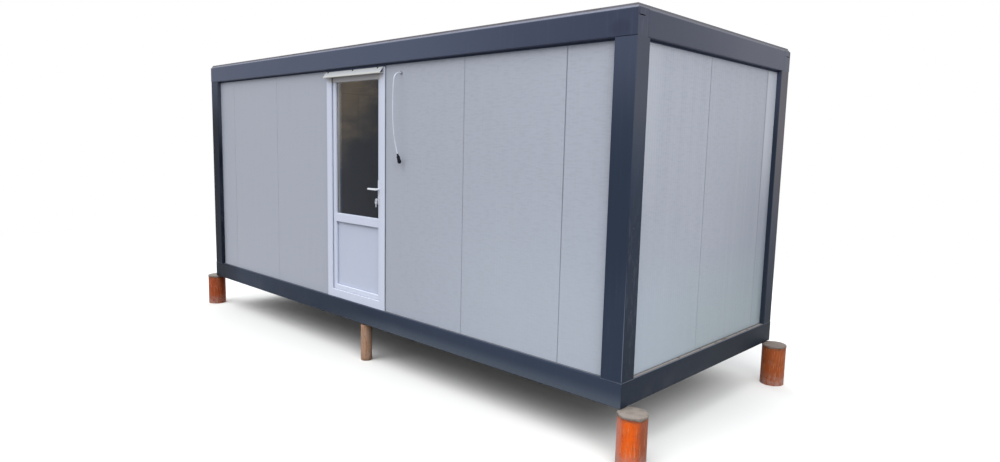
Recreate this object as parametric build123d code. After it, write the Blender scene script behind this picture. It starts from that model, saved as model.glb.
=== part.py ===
"""Portable site cabin: a folded steel frame with sandwich-panel walls, on short piles.

The origin is at the middle of the footprint, at the foot of the piles. +X runs along
the length, the door side faces -Y and +Z is up. All sizes are in millimetres.
"""
from build123d import *
import math
import os

# Cabin body
LENGTH = 6000.0
WIDTH = 2400.0
BASE_HEIGHT = 175.0
POST_HEIGHT = 2200.0
TOP_HEIGHT = 170.0

# Folded frame members
SHEET = 3.0
BEND_RADIUS = 8.0
BASE_FLANGE = 60.0
BASE_LIP = 15.0
TOP_FLANGE = 60.0
LONG_BEAM_DEPTH = 120.0
POST_FRONT_FACE = 168.0
POST_END_FACE = 150.0
WALL_RECESS = 40.0
END_SLIT = 6.0
END_SLIT_START = 8.0
END_SLIT_REACH = 78.0
END_SLIT_DROP = 45.0
BUTT_GAP = 1.0

# Walls, floor and roof
WALL_THICKNESS = 50.0
PANEL_MODULE = 1000.0
DOOR_SIDE_PANEL = 986.0
END_FIRST_SEAM = 1060.0
REAR_FIRST_SEAM = 1040.0
JOINT_GAP = 3.0
TONGUE_LENGTH = 12.0
TONGUE_WIDTH = 16.0
TONGUE_PLAY = 1.0
HEAD_CHANNEL_DROP = 13.0
DECK_THICKNESS = 18.0
FLOOR_JOIST_HEIGHT = 120.0
FLOOR_JOIST_WIDTH = 45.0
FLOOR_JOIST_PITCH = 500.0
ROOF_JOIST_HEIGHT = 80.0
ROOF_JOIST_WIDTH = 40.0
ROOF_JOIST_PITCH = 1000.0
CEILING_THICKNESS = 50.0
CEILING_PLAY = 1.0
ROOF_SHEET = 1.5
ROOF_RIB_HEIGHT = 12.0
ROOF_RIB_PITCH = 200.0
ROOF_RIB_TOP = 35.0
ROOF_RIB_FOOT = 65.0
ROOF_TRIM_HEIGHT = 26.0
ROOF_TRIM_WIDTH = 70.0
ROOF_TRIM_SHEET = 2.0
ROOF_TRIM_SETBACK = 8.0
ROOF_TRIM_HEM = 12.0
ROOF_TRIM_STEP = 8.0

# Doorway, measured from the left end of the front
DOOR_START = 2501.0
DOOR_OPENING = 932.0
FRAME_JOINT = 3.0
FRAME_PROUD = 10.0
FRAME_DEPTH = 70.0
FRAME_FACE = 76.0
FRAME_BODY = 45.0
FRAME_LIP = 14.0
PROFILE_CHAMFER = 3.0

# Door leaf, sunk behind the frame's lip
LEAF_SHUT_GAP = 5.0
LEAF_EDGE_GAP = 10.0
LEAF_DEPTH = 69.0
LEAF_OVERLAP = 7.0
LEAF_OVERLAP_THICKNESS = 13.0
LEAF_FACE = 47.0
MID_RAIL_BOTTOM = 745.0
MID_RAIL_HEIGHT = 86.0
GLAZING_LIP = 22.0
GLAZING_CHAMFER = 5.0
BEAD_WIDTH = 14.0
BEAD_DEPTH = 21.0
PANE_EDGE_GAP = 4.0
PANE_SEAT_GAP = 0.5
GLASS_SHEET = 4.0
SPACER_WIDTH = 9.0
SPACER_INSET = 3.0

# Door furniture
HINGE_RADIUS = 8.0
HINGE_PIN_RADIUS = 4.0
HINGE_PIN_PLAY = 0.1
HINGE_KNUCKLE = 38.0
HINGE_KNUCKLE_GAP = 0.5
HINGE_FLAP = 4.0
HINGE_FLAP_REACH = 26.0
HINGE_STAND = 8.0
HANDLE_HEIGHT = 1275.0
HANDLE_BACKSET = 99.0
PLATE_WIDTH = 30.0
PLATE_HEIGHT = 225.0
PLATE_DROP = 28.0
PLATE_THICKNESS = 8.0
NECK_RADIUS = 9.0
NECK_PLAY = 0.5
LEVER_REACH = 42.0
LEVER_LENGTH = 122.0
LEVER_HEIGHT = 19.0
LEVER_THICKNESS = 12.0
SPINDLE = 8.0
SPINDLE_HOLE_RADIUS = 7.0
LOCK_DROP = 92.0
LOCK_RADIUS = 8.5
LOCK_TAIL_WIDTH = 10.0
LOCK_HEIGHT = 33.0
LOCK_PROUD = 3.0
LOCK_PLAY = 0.3
KEY_BOW_RADIUS = 12.0
KEY_THICKNESS = 2.5
KEY_STUB = 12.0
KEY_BLADE = 30.0
KEY_HOLE_RADIUS = 4.5
RING_RADIUS = 13.0
RING_WIRE = 1.2
RING_SIDES = 24

# Lock plate in the leaf's edge, and the pockets for it in the frame
LOCK_PLATE_WIDTH = 16.0
LOCK_PLATE_HEIGHT = 260.0
LOCK_PLATE_DEPTH = 3.0
LATCH_WIDTH = 12.0
LATCH_HEIGHT = 26.0
LATCH_PROUD = 4.0
LATCH_SLOPE = 3.5
BOLT_HEIGHT = 40.0
BOLT_PROUD = 1.0
KEEP_POCKET_DEPTH = 9.0
KEEP_ROOM = 1.0

# Rain strip over the door
DRIP_LENGTH = 909.0
DRIP_TOP_GAP = 22.0
DRIP_DROP = 56.0
DRIP_REACH = 40.0
DRIP_SHEET = 2.0
DRIP_FLANGE = 10.0
DRIP_LIP = 9.0

# Hanging cable
CABLE_DIAMETER = 10.0
CABLE_SIDES = 12
CABLE_SIDE = 217.0
CABLE_HEIGHT = 2286.0
GROMMET_RADIUS = 14.0
GROMMET_PROUD = 6.0
CONNECTOR_LENGTH = 86.0
CONNECTOR_TAPER = 28.0
CONNECTOR_NOSE = 14.0
CONNECTOR_RADIUS = 16.0
CONNECTOR_NECK_RADIUS = 8.0
CONNECTOR_NOSE_RADIUS = 11.0
CONNECTOR_SIDES = 16

# Footings
PILE_HEIGHT = 360.0
PILE_DIAMETER = 200.0
PIPE_WALL = 5.0
PIPE_RIM_DROP = 12.0
CORE_PLAY = 0.3
CORE_EDGE = 5.0
PILE_OUTSET = 75.0
PILE_FRONT_INSET = 35.0
PILE_REAR_INSET = 70.0
MIDDLE_POST_DIAMETER = 110.0
MIDDLE_POST_INSET = 60.0
MIDDLE_POST_X = 112.0
MIDDLE_POST_EDGE = 9.0
SHIM_HEIGHT = 12.0
SHIM_LENGTH = 60.0
SHIM_WIDTH = 34.0
SHIM_OFFSET = 26.0

# Places worked out from the sizes
FRONT_OVERHANG = max(PILE_DIAMETER / 2 - PILE_FRONT_INSET, 0.0)
REAR_OVERHANG = max(PILE_DIAMETER / 2 - PILE_REAR_INSET, 0.0)
LEFT = -LENGTH / 2
RIGHT = LENGTH / 2
FRONT = FRONT_OVERHANG - (FRONT_OVERHANG + WIDTH + REAR_OVERHANG) / 2
REAR = FRONT + WIDTH
BASE_BOTTOM = PILE_HEIGHT
BASE_TOP = BASE_BOTTOM + BASE_HEIGHT
BEAM_BOTTOM = BASE_TOP + POST_HEIGHT
BEAM_TOP = BEAM_BOTTOM + TOP_HEIGHT
WALL_INNER = WALL_RECESS + WALL_THICKNESS

# Each side: its starting corner, the way it runs, the way inward and its length
SIDES = {
    "front": (Vector(LEFT, FRONT), Vector(1, 0), Vector(0, 1), LENGTH),
    "right": (Vector(RIGHT, FRONT), Vector(0, 1), Vector(-1, 0), WIDTH),
    "rear": (Vector(RIGHT, REAR), Vector(-1, 0), Vector(0, -1), LENGTH),
    "left": (Vector(LEFT, REAR), Vector(0, -1), Vector(1, 0), WIDTH),
}


def block(x0, x1, y0, y1, z0, z1):
    """A box between two corners."""
    size = (x1 - x0, y1 - y0, z1 - z0)
    return Pos((x0 + x1) / 2, (y0 + y1) / 2, (z0 + z1) / 2) * Box(*size)


def folded_face(points, sheet, radius=0.0):
    """A folded sheet's section; the sheet lies to the left of the outer line."""
    line = FilletPolyline(*points, radius=radius) if radius else Polyline(*points)
    return Face(line.wire().offset_2d(sheet, kind=Kind.INTERSECTION, side=Side.LEFT))


def side_bar(side, section, height, start=0.0, end=0.0):
    """A bar along one side; the section's first axis points inward, its second up."""
    corner, along, inward, length = SIDES[side]
    origin = corner + along * start + Vector(0, 0, height)
    plane = Plane(origin=origin, x_dir=inward, z_dir=along)
    return extrude(plane * section, amount=length - start - end, dir=along)


def mitre(bar, side):
    """Cut both ends of a full-length bar at 45 degrees."""
    corner, along, inward, length = SIDES[side]
    bar = split(bar, bisect_by=Plane(origin=corner, z_dir=along - inward), keep=Keep.TOP)
    far = Plane(origin=corner + along * length, z_dir=inward * -1 - along)
    return split(bar, bisect_by=far, keep=Keep.TOP)


def base_beam(side):
    """Open channel whose top flange carries the wall panels."""
    lip_foot = BASE_HEIGHT - DECK_THICKNESS
    points = [
        (WALL_INNER, lip_foot),
        (WALL_INNER, BASE_HEIGHT),
        (0, BASE_HEIGHT),
        (0, 0),
        (BASE_FLANGE, 0),
        (BASE_FLANGE, BASE_LIP),
    ]
    return mitre(side_bar(side, folded_face(points, SHEET, BEND_RADIUS), BASE_BOTTOM), side)


def top_section(bottom_flange):
    """Open channel: the ceiling lies on its bottom flange, the roof on its top one."""
    points = [
        (TOP_FLANGE, TOP_HEIGHT),
        (0, TOP_HEIGHT),
        (0, 0),
        (bottom_flange, 0),
    ]
    return folded_face(points, SHEET, BEND_RADIUS)


def long_top_beam(side):
    """Runs the whole length and is closed by a plate at each end."""
    beam = side_bar(side, top_section(LONG_BEAM_DEPTH), BEAM_BOTTOM)
    corner, along, inward, length = SIDES[side]
    plate_centre = (LONG_BEAM_DEPTH / 2, TOP_HEIGHT / 2)
    plate = Pos(*plate_centre) * Rectangle(LONG_BEAM_DEPTH, TOP_HEIGHT)
    outer_corners = plate.vertices().group_by(Axis.X)[0]
    plate = fillet(outer_corners, BEND_RADIUS)
    level = TOP_HEIGHT - END_SLIT_DROP
    top = TOP_HEIGHT - BEND_RADIUS
    slit_length = END_SLIT_REACH - END_SLIT_START
    plate -= Pos(END_SLIT_START + slit_length / 2, level) * Rectangle(slit_length, END_SLIT)
    plate -= Pos(END_SLIT_START + END_SLIT / 2, (level + top) / 2) * Rectangle(END_SLIT, top - level)
    beam += side_bar(side, plate, BEAM_BOTTOM, end=length - SHEET)
    beam += side_bar(side, plate, BEAM_BOTTOM, start=length - SHEET)
    return beam


def short_top_beam(side):
    """Butts against the long beams."""
    inset = LONG_BEAM_DEPTH + BUTT_GAP
    return side_bar(side, top_section(LONG_BEAM_DEPTH), BEAM_BOTTOM, inset, inset)


def corner_posts():
    """Four folded posts with returns to the wall faces."""
    points = [
        (WALL_RECESS, POST_END_FACE),
        (0, POST_END_FACE),
        (0, 0),
        (POST_FRONT_FACE, 0),
        (POST_FRONT_FACE, WALL_RECESS),
    ]
    section = folded_face(points, SHEET, BEND_RADIUS)
    post = extrude(section, amount=POST_HEIGHT, dir=(0, 0, 1))
    posts = []
    for x, turn_x in ((LEFT, 1), (RIGHT, -1)):
        for y, turn_y in ((FRONT, 1), (REAR, -1)):
            piece = post if turn_x > 0 else mirror(post, Plane.YZ)
            piece = piece if turn_y > 0 else mirror(piece, Plane.XZ)
            posts.append(Pos(x, y, BASE_TOP) * piece)
    return posts


def joist_section(height, width):
    """Channel section, open to one side."""
    return folded_face([(width, height), (0, height), (0, 0), (width, 0)], SHEET)


def joists(height, width, pitch, bottom):
    """Evenly spaced channels between the long beams' webs."""
    count = int((LENGTH - 2 * WALL_INNER) // pitch)
    first = -(count - 1) / 2 * pitch
    section = joist_section(height, width)
    pieces = []
    for i in range(count):
        origin = (first + i * pitch - width / 2, REAR - SHEET, bottom)
        plane = Plane(origin=origin, x_dir=(1, 0, 0), z_dir=(0, -1, 0))
        pieces.append(extrude(plane * section, amount=WIDTH - 2 * SHEET, dir=(0, -1, 0)))
    return pieces


def wall_panel(side, start, end, grooved, tongued):
    """A sandwich panel standing on the base flange, seen from above as an outline."""
    u0 = WALL_RECESS
    u1 = WALL_INNER
    middle = (u0 + u1) / 2
    groove = TONGUE_WIDTH / 2 + TONGUE_PLAY
    tongue = TONGUE_WIDTH / 2
    depth = TONGUE_LENGTH + TONGUE_PLAY
    outline = [(start, u0), (end, u0)]
    if tongued:
        tip = end + JOINT_GAP + TONGUE_LENGTH
        outline += [(end, middle - tongue), (tip, middle - tongue)]
        outline += [(tip, middle + tongue), (end, middle + tongue)]
    outline += [(end, u1), (start, u1)]
    if grooved:
        outline += [(start, middle + groove), (start + depth, middle + groove)]
        outline += [(start + depth, middle - groove), (start, middle - groove)]
    corner, along, inward, length = SIDES[side]
    plane = Plane(origin=corner + Vector(0, 0, BASE_TOP), x_dir=along, z_dir=(0, 0, 1))
    face = plane * make_face(Polyline(*outline, close=True))
    return extrude(face, amount=POST_HEIGHT, dir=(0, 0, 1))


def wall(side, start, seams, end):
    """Panels from start to end with a tongued joint at each seam."""
    edges = [start] + [s for s in seams if start < s < end] + [end]
    panels = []
    for i in range(len(edges) - 1):
        first = i == 0
        last = i == len(edges) - 2
        near = edges[i] if first else edges[i] + JOINT_GAP / 2
        far = edges[i + 1] if last else edges[i + 1] - JOINT_GAP / 2
        panels.append(wall_panel(side, near, far, not first, not last))
    return panels


def module_seams(first, length):
    """Seam places one panel width apart."""
    count = int(max(length - first, 0) // PANEL_MODULE) + 1
    return [first + i * PANEL_MODULE for i in range(count)]


def door_place(s):
    """World X of a distance from the left end of the front."""
    return LEFT + s


def head_strip(face, drop):
    """The section of a strip that hangs from a top beam in front of a face."""
    return Pos(face - SHEET / 2, -drop / 2) * Rectangle(SHEET, drop)


def head_channels():
    """Edge strips in front of the panels' heads and, further out, of the door frame's."""
    section = head_strip(WALL_RECESS, HEAD_CHANNEL_DROP)
    door_section = head_strip(WALL_RECESS - FRAME_PROUD, DRIP_TOP_GAP)
    door_end = DOOR_START + DOOR_OPENING
    return [
        side_bar("front", section, BEAM_BOTTOM, POST_FRONT_FACE, LENGTH - DOOR_START),
        side_bar("front", section, BEAM_BOTTOM, door_end, POST_FRONT_FACE),
        side_bar("front", door_section, BEAM_BOTTOM, DOOR_START, LENGTH - door_end),
        side_bar("rear", section, BEAM_BOTTOM, POST_FRONT_FACE, POST_FRONT_FACE),
        side_bar("right", section, BEAM_BOTTOM, POST_END_FACE, POST_END_FACE),
        side_bar("left", section, BEAM_BOTTOM, POST_END_FACE, POST_END_FACE),
    ]


def floor_deck():
    """One board level with the top of the base beams."""
    edge = WALL_INNER
    top = BASE_TOP
    return block(LEFT + edge, RIGHT - edge, FRONT + edge, REAR - edge, top - DECK_THICKNESS, top)


def ceiling_panels():
    """Panels lying on the bottom flanges of the top beams."""
    bottom = BEAM_BOTTOM + SHEET
    edge = BEND_RADIUS + CEILING_PLAY
    start = LEFT + edge
    end = RIGHT - edge
    count = math.ceil((end - start) / PANEL_MODULE)
    pieces = []
    for i in range(count):
        x0 = start + i * PANEL_MODULE + (JOINT_GAP / 2 if i else 0)
        x1 = min(start + (i + 1) * PANEL_MODULE - JOINT_GAP / 2, end)
        top = bottom + CEILING_THICKNESS
        pieces.append(block(x0, x1, FRONT + edge, REAR - edge, bottom, top))
    return pieces


def roof_sheet():
    """Ribbed sheet on the top flanges, its ribs running from front to rear."""
    inset = ROOF_TRIM_SETBACK + ROOF_TRIM_STEP + 2 * ROOF_TRIM_SHEET
    half = LENGTH / 2 - inset
    count = int(2 * half // ROOF_RIB_PITCH)
    lead = half - count * ROOF_RIB_PITCH / 2
    line = [(-half, 0)]
    for i in range(count):
        x = -half + lead + (i + 0.5) * ROOF_RIB_PITCH
        line += [(x - ROOF_RIB_FOOT / 2, 0), (x - ROOF_RIB_TOP / 2, ROOF_RIB_HEIGHT)]
        line += [(x + ROOF_RIB_TOP / 2, ROOF_RIB_HEIGHT), (x + ROOF_RIB_FOOT / 2, 0)]
    line.append((half, 0))
    plane = Plane(origin=(0, REAR - inset, BEAM_TOP), x_dir=(1, 0, 0), z_dir=(0, -1, 0))
    section = plane * folded_face(line, ROOF_SHEET)
    return extrude(section, amount=WIDTH - 2 * inset, dir=(0, -1, 0))


def roof_edge_trim():
    """Folded trims over the edge of the roof sheet, with a stepped hem below."""
    upright = ROOF_TRIM_SETBACK + ROOF_TRIM_STEP
    points = [
        (ROOF_TRIM_SETBACK + ROOF_TRIM_WIDTH, ROOF_TRIM_HEIGHT),
        (upright, ROOF_TRIM_HEIGHT),
        (upright, ROOF_TRIM_HEM),
        (ROOF_TRIM_SETBACK, ROOF_TRIM_HEM),
        (ROOF_TRIM_SETBACK, 0),
    ]
    section = folded_face(points, ROOF_TRIM_SHEET)
    return [mitre(side_bar(side, section, BEAM_TOP), side) for side in SIDES]


# The door is drawn on the front plane: x from the left end, z above the base beam
FRAME_X0 = door_place(DOOR_START + FRAME_JOINT)
FRAME_X1 = door_place(DOOR_START + DOOR_OPENING - FRAME_JOINT)
FRAME_Z0 = BASE_TOP
FRAME_Z1 = BEAM_BOTTOM
FRAME_Y0 = FRONT + WALL_RECESS - FRAME_PROUD
LEAF_Y0 = FRAME_Y0 + FRAME_LIP + LEAF_SHUT_GAP
LEAF_Y1 = LEAF_Y0 + LEAF_DEPTH
LEAF_EDGE = FRAME_BODY + LEAF_EDGE_GAP
LEAF_INNER = FRAME_FACE + LEAF_FACE
OVERLAP_EDGE = FRAME_BODY - LEAF_OVERLAP
MID_RAIL_Z0 = BASE_TOP + MID_RAIL_BOTTOM
MID_RAIL_Z1 = MID_RAIL_Z0 + MID_RAIL_HEIGHT
BEAD_Y0 = LEAF_Y1 - BEAD_DEPTH
LIP_Y1 = LEAF_Y0 + GLAZING_LIP
HINGE_X = FRAME_X0 + OVERLAP_EDGE - HINGE_STAND
HINGE_Y = LEAF_Y1 + HINGE_STAND
HANDLE_X = FRAME_X1 - HANDLE_BACKSET
HANDLE_Z = BASE_BOTTOM + HANDLE_HEIGHT
LOCK_Z = HANDLE_Z - LOCK_DROP
PLATE_Y0 = LEAF_Y0 - PLATE_THICKNESS
PLATE_Y1 = LEAF_Y1 + PLATE_THICKNESS
LOCK_EDGE_X = FRAME_X1 - LEAF_EDGE
LOCK_EDGE_Y = (LEAF_Y0 + LEAF_Y1 - LEAF_OVERLAP_THICKNESS) / 2
CABLE_X = door_place(DOOR_START + DOOR_OPENING + CABLE_SIDE)


def door_slab(inset, y0, y1, z0=None, z1=None):
    """A slab of the door's outline, drawn in by an even inset."""
    bottom = FRAME_Z0 + inset if z0 is None else z0
    top = FRAME_Z1 - inset if z1 is None else z1
    return block(FRAME_X0 + inset, FRAME_X1 - inset, y0, y1, bottom, top)


def door_frame():
    """Four mitred members with a lip that the leaf shuts against."""
    y1 = FRAME_Y0 + FRAME_DEPTH
    lip_y = FRAME_Y0 + FRAME_LIP
    ring = door_slab(0, FRAME_Y0, y1)
    lip_hole = door_slab(FRAME_FACE, FRAME_Y0, lip_y)
    ring -= lip_hole
    ring -= door_slab(FRAME_BODY, lip_y, y1)
    front_inner = [
        e
        for e in ring.edges()
        if abs(e.center().Y - FRAME_Y0) < 0.01 and is_inner(e, FRAME_FACE)
    ]
    ring = chamfer(front_inner, PROFILE_CHAMFER)
    half_width = (FRAME_X1 - FRAME_X0) / 2
    jamb = [
        (FRAME_X0, FRAME_Z0),
        (FRAME_X0 + half_width, FRAME_Z0 + half_width),
        (FRAME_X0 + half_width, FRAME_Z1 - half_width),
        (FRAME_X0, FRAME_Z1),
    ]
    foot = [
        (FRAME_X0, FRAME_Z0),
        (FRAME_X1, FRAME_Z0),
        (FRAME_X0 + half_width, FRAME_Z0 + half_width),
    ]
    other_jamb = [(FRAME_X0 + FRAME_X1 - x, z) for x, z in jamb]
    head = [(x, FRAME_Z0 + FRAME_Z1 - z) for x, z in foot]
    return [ring & upright_prism(points) for points in (jamb, other_jamb, head, foot)]


def is_inner(edge, inset):
    """Whether an edge lies on the door outline drawn in by the inset."""
    c = edge.center()
    on_side = min(abs(c.X - FRAME_X0 - inset), abs(FRAME_X1 - inset - c.X)) < 0.01
    on_end = min(abs(c.Z - FRAME_Z0 - inset), abs(FRAME_Z1 - inset - c.Z)) < 0.01
    return on_side or on_end


def upright_prism(points):
    """A prism through the front wall with its outline in X and Z."""
    plane = Plane(origin=(0, REAR, 0), x_dir=(1, 0, 0), z_dir=(0, -1, 0))
    face = plane * make_face(Polyline(*points, close=True))
    return extrude(face, amount=WIDTH + WALL_RECESS, dir=(0, -1, 0))


def light_slab(inset, y0, y1, upper):
    """The upper or lower light of the leaf, grown by the inset on every side."""
    if upper:
        z0 = MID_RAIL_Z1 - inset
        z1 = FRAME_Z1 - LEAF_INNER + inset
    else:
        z0 = FRAME_Z0 + LEAF_INNER - inset
        z1 = MID_RAIL_Z0 + inset
    return door_slab(LEAF_INNER - inset, y0, y1, z0, z1)


def lock_outline(play):
    """The profile of the lock body, with its tail hanging down."""
    face = Circle(LOCK_RADIUS + play)
    tail_height = LOCK_HEIGHT - LOCK_RADIUS + play
    tail = Pos(0, -tail_height / 2) * Rectangle(LOCK_TAIL_WIDTH + 2 * play, tail_height)
    return face + tail


def lock_body(y0, y1, play):
    """The lock body, or the room for it, between two depths."""
    plane = Plane(origin=(HANDLE_X, y1, LOCK_Z), x_dir=(1, 0, 0), z_dir=(0, -1, 0))
    return extrude(plane * lock_outline(play), amount=y1 - y0, dir=(0, -1, 0))


def round_bar(x, z, y0, y1, radius):
    """A round bar through the wall."""
    turned = Rot(90, 0, 0) * Cylinder(radius, y1 - y0)
    return Pos(x, (y0 + y1) / 2, z) * turned


def door_leaf():
    """Hollowed sash with a mid rail, glazing lips and a rebated edge."""
    body = door_slab(LEAF_EDGE, LEAF_Y0, LEAF_Y1)
    body += door_slab(OVERLAP_EDGE, LEAF_Y1 - LEAF_OVERLAP_THICKNESS, LEAF_Y1)
    for upper in (True, False):
        body -= light_slab(0, LEAF_Y0, LIP_Y1, upper)
        body -= light_slab(BEAD_WIDTH, LIP_Y1, LEAF_Y1, upper)
        lip_edges = [e for e in body.edges() if on_light_edge(e, upper)]
        body = chamfer(lip_edges, GLAZING_CHAMFER)
    body -= round_bar(HANDLE_X, HANDLE_Z, LEAF_Y0, LEAF_Y1, SPINDLE_HOLE_RADIUS)
    body -= lock_body(LEAF_Y0, LEAF_Y1, LOCK_PLAY)
    body -= lock_plate_strip()
    return body


def lock_middle():
    """Height of the middle of the lock plate, between the lever and the lock."""
    return (HANDLE_Z + LOCK_Z) / 2


def lock_plate_strip():
    """The strip let into the leaf's closing edge."""
    half_width = LOCK_PLATE_WIDTH / 2
    half_height = LOCK_PLATE_HEIGHT / 2
    middle = lock_middle()
    return block(LOCK_EDGE_X - LOCK_PLATE_DEPTH, LOCK_EDGE_X, LOCK_EDGE_Y - half_width,
                 LOCK_EDGE_Y + half_width, middle - half_height, middle + half_height)


def latch_head(z, height, reach, room=0.0):
    """A latch or bolt standing out of the leaf's closing edge, or the room for it."""
    half_width = LATCH_WIDTH / 2 + room
    half_height = height / 2 + room
    return block(LOCK_EDGE_X, LOCK_EDGE_X + reach, LOCK_EDGE_Y - half_width,
                 LOCK_EDGE_Y + half_width, z - half_height, z + half_height)


def lock_plate():
    """The lock plate with its sloped latch and, drawn back, its bolt."""
    latch = latch_head(HANDLE_Z, LATCH_HEIGHT, LATCH_PROUD)
    closing_edge = latch.edges().filter_by(Axis.Z).group_by(Axis.X)[-1].sort_by(Axis.Y)[-1]
    latch = chamfer(closing_edge, LATCH_SLOPE)
    return lock_plate_strip() + latch + latch_head(LOCK_Z, BOLT_HEIGHT, BOLT_PROUD)


def keep_pockets():
    """The pockets in the frame that the latch and the bolt shoot into."""
    reach = LEAF_EDGE_GAP + KEEP_POCKET_DEPTH
    return [
        latch_head(HANDLE_Z, LATCH_HEIGHT, reach, KEEP_ROOM),
        latch_head(LOCK_Z, BOLT_HEIGHT, reach, KEEP_ROOM),
    ]


def on_light_edge(edge, upper):
    """Whether an edge is on the front rim of one of the leaf's lights."""
    c = edge.center()
    box = light_slab(0, LEAF_Y0, LIP_Y1, upper).bounding_box()
    if abs(c.Y - LEAF_Y0) > 0.01:
        return False
    inside_x = box.min.X - 0.01 < c.X < box.max.X + 0.01
    inside_z = box.min.Z - 0.01 < c.Z < box.max.Z + 0.01
    return inside_x and inside_z


def lower_panel():
    """The filling of the lower light, held between the lip and the beads."""
    return light_slab(BEAD_WIDTH - PANE_EDGE_GAP, LIP_Y1 + PANE_SEAT_GAP, BEAD_Y0, False)


def glass_sheets():
    """The outer and inner glass of the upper light."""
    edge = BEAD_WIDTH - PANE_EDGE_GAP
    outer_y = LIP_Y1 + PANE_SEAT_GAP
    outer = light_slab(edge, outer_y, outer_y + GLASS_SHEET, True)
    inner = light_slab(edge, BEAD_Y0 - GLASS_SHEET, BEAD_Y0, True)
    return [outer, inner]


def glass_spacer():
    """The bar that keeps the two sheets of glass apart."""
    edge = BEAD_WIDTH - PANE_EDGE_GAP - SPACER_INSET
    y0 = LIP_Y1 + PANE_SEAT_GAP + GLASS_SHEET
    y1 = BEAD_Y0 - GLASS_SHEET
    return light_slab(edge, y0, y1, True) - light_slab(edge - SPACER_WIDTH, y0, y1, True)


def glazing_beads():
    """A ring of bead behind each pane."""
    rings = []
    for upper in (True, False):
        ring = light_slab(BEAD_WIDTH, BEAD_Y0, LEAF_Y1, upper)
        rings.append(ring - light_slab(0, BEAD_Y0, LEAF_Y1, upper))
    return rings


def hinge_heights():
    """Bottom of each hinge, three to the door."""
    low = FRAME_Z0 + LEAF_INNER + HINGE_KNUCKLE
    high = FRAME_Z1 - LEAF_INNER - 3 * HINGE_KNUCKLE
    return [low, (low + high) / 2, high]


def frame_hinges():
    """Lower knuckle with its pin, on a flap screwed to the frame."""
    frame_back = FRAME_Y0 + FRAME_DEPTH
    pieces = []
    for z in hinge_heights():
        middle = z + HINGE_KNUCKLE / 2
        knuckle = Pos(HINGE_X, HINGE_Y, middle) * Cylinder(HINGE_RADIUS, HINGE_KNUCKLE)
        pin_length = 2 * HINGE_KNUCKLE
        pin = Pos(HINGE_X, HINGE_Y, z + pin_length / 2) * Cylinder(HINGE_PIN_RADIUS, pin_length)
        foot = block(
            HINGE_X - HINGE_FLAP_REACH, HINGE_X, frame_back, frame_back + HINGE_FLAP,
            z, z + HINGE_KNUCKLE,
        )
        arm = block(
            HINGE_X - HINGE_RADIUS, HINGE_X - HINGE_RADIUS + HINGE_FLAP, frame_back, HINGE_Y,
            z, z + HINGE_KNUCKLE,
        )
        pieces.append(knuckle + pin + foot + arm)
    return pieces


def leaf_hinges():
    """Upper knuckle, bored for the pin, on a flap screwed to the leaf."""
    pieces = []
    for z in hinge_heights():
        z0 = z + HINGE_KNUCKLE + HINGE_KNUCKLE_GAP
        z1 = z0 + HINGE_KNUCKLE
        knuckle = Pos(HINGE_X, HINGE_Y, (z0 + z1) / 2) * Cylinder(HINGE_RADIUS, z1 - z0)
        flap = block(HINGE_X, HINGE_X + HINGE_STAND + HINGE_FLAP_REACH, LEAF_Y1,
                     LEAF_Y1 + HINGE_FLAP, z0, z1)
        bore = Cylinder(HINGE_PIN_RADIUS + HINGE_PIN_PLAY, z1 - z0)
        pieces.append(knuckle + flap - Pos(HINGE_X, HINGE_Y, (z0 + z1) / 2) * bore)
    return pieces


def handle_plates():
    """A long plate on each face, bored for the lever's neck and the lock."""
    z0 = HANDLE_Z - PLATE_HEIGHT / 2 - PLATE_DROP
    pieces = []
    for y0, y1 in ((PLATE_Y0, LEAF_Y0), (LEAF_Y1, PLATE_Y1)):
        plate = block(HANDLE_X - PLATE_WIDTH / 2, HANDLE_X + PLATE_WIDTH / 2, y0, y1,
                      z0, z0 + PLATE_HEIGHT)
        plate = fillet(plate.edges().filter_by(Axis.Y), PLATE_WIDTH / 3)
        plate -= round_bar(HANDLE_X, HANDLE_Z, y0, y1, NECK_RADIUS + NECK_PLAY)
        plate -= lock_body(y0, y1, LOCK_PLAY)
        pieces.append(plate)
    return pieces


def handle_levers():
    """Two levers on one square spindle."""
    body = block(HANDLE_X - SPINDLE / 2, HANDLE_X + SPINDLE / 2, PLATE_Y0, PLATE_Y1,
                 HANDLE_Z - SPINDLE / 2, HANDLE_Z + SPINDLE / 2)
    for y0, y1, grip_y in (
        (PLATE_Y0 - LEVER_REACH, LEAF_Y0 - NECK_PLAY, PLATE_Y0 - LEVER_REACH),
        (LEAF_Y1 + NECK_PLAY, PLATE_Y1 + LEVER_REACH, PLATE_Y1 + LEVER_REACH - LEVER_THICKNESS),
    ):
        body += round_bar(HANDLE_X, HANDLE_Z, y0, y1, NECK_RADIUS)
        body += lever_grip(grip_y, grip_y > LEAF_Y1)
    return body


def lever_grip(y0, inside):
    """A slim grip that narrows a little towards its rounded tip."""
    root = LEVER_HEIGHT / 2
    tip = LEVER_HEIGHT * 0.42
    outline = make_hull(
        (Circle(root).edges() + (Pos(-LEVER_LENGTH + tip, 0) * Circle(tip)).edges())
    )
    plane = Plane(origin=(HANDLE_X, y0 + LEVER_THICKNESS, HANDLE_Z),
                  x_dir=(1, 0, 0), z_dir=(0, -1, 0))
    grip = extrude(plane * outline, amount=LEVER_THICKNESS, dir=(0, -1, 0))
    palm_face = grip.faces().sort_by(Axis.Y)[-1 if inside else 0]
    return chamfer(palm_face.edges(), LEVER_THICKNESS / 5)


def lock_cylinder():
    """The lock body, standing a little proud of both plates."""
    return lock_body(PLATE_Y0 - LOCK_PROUD, PLATE_Y1 + LOCK_PROUD, 0.0)


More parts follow.
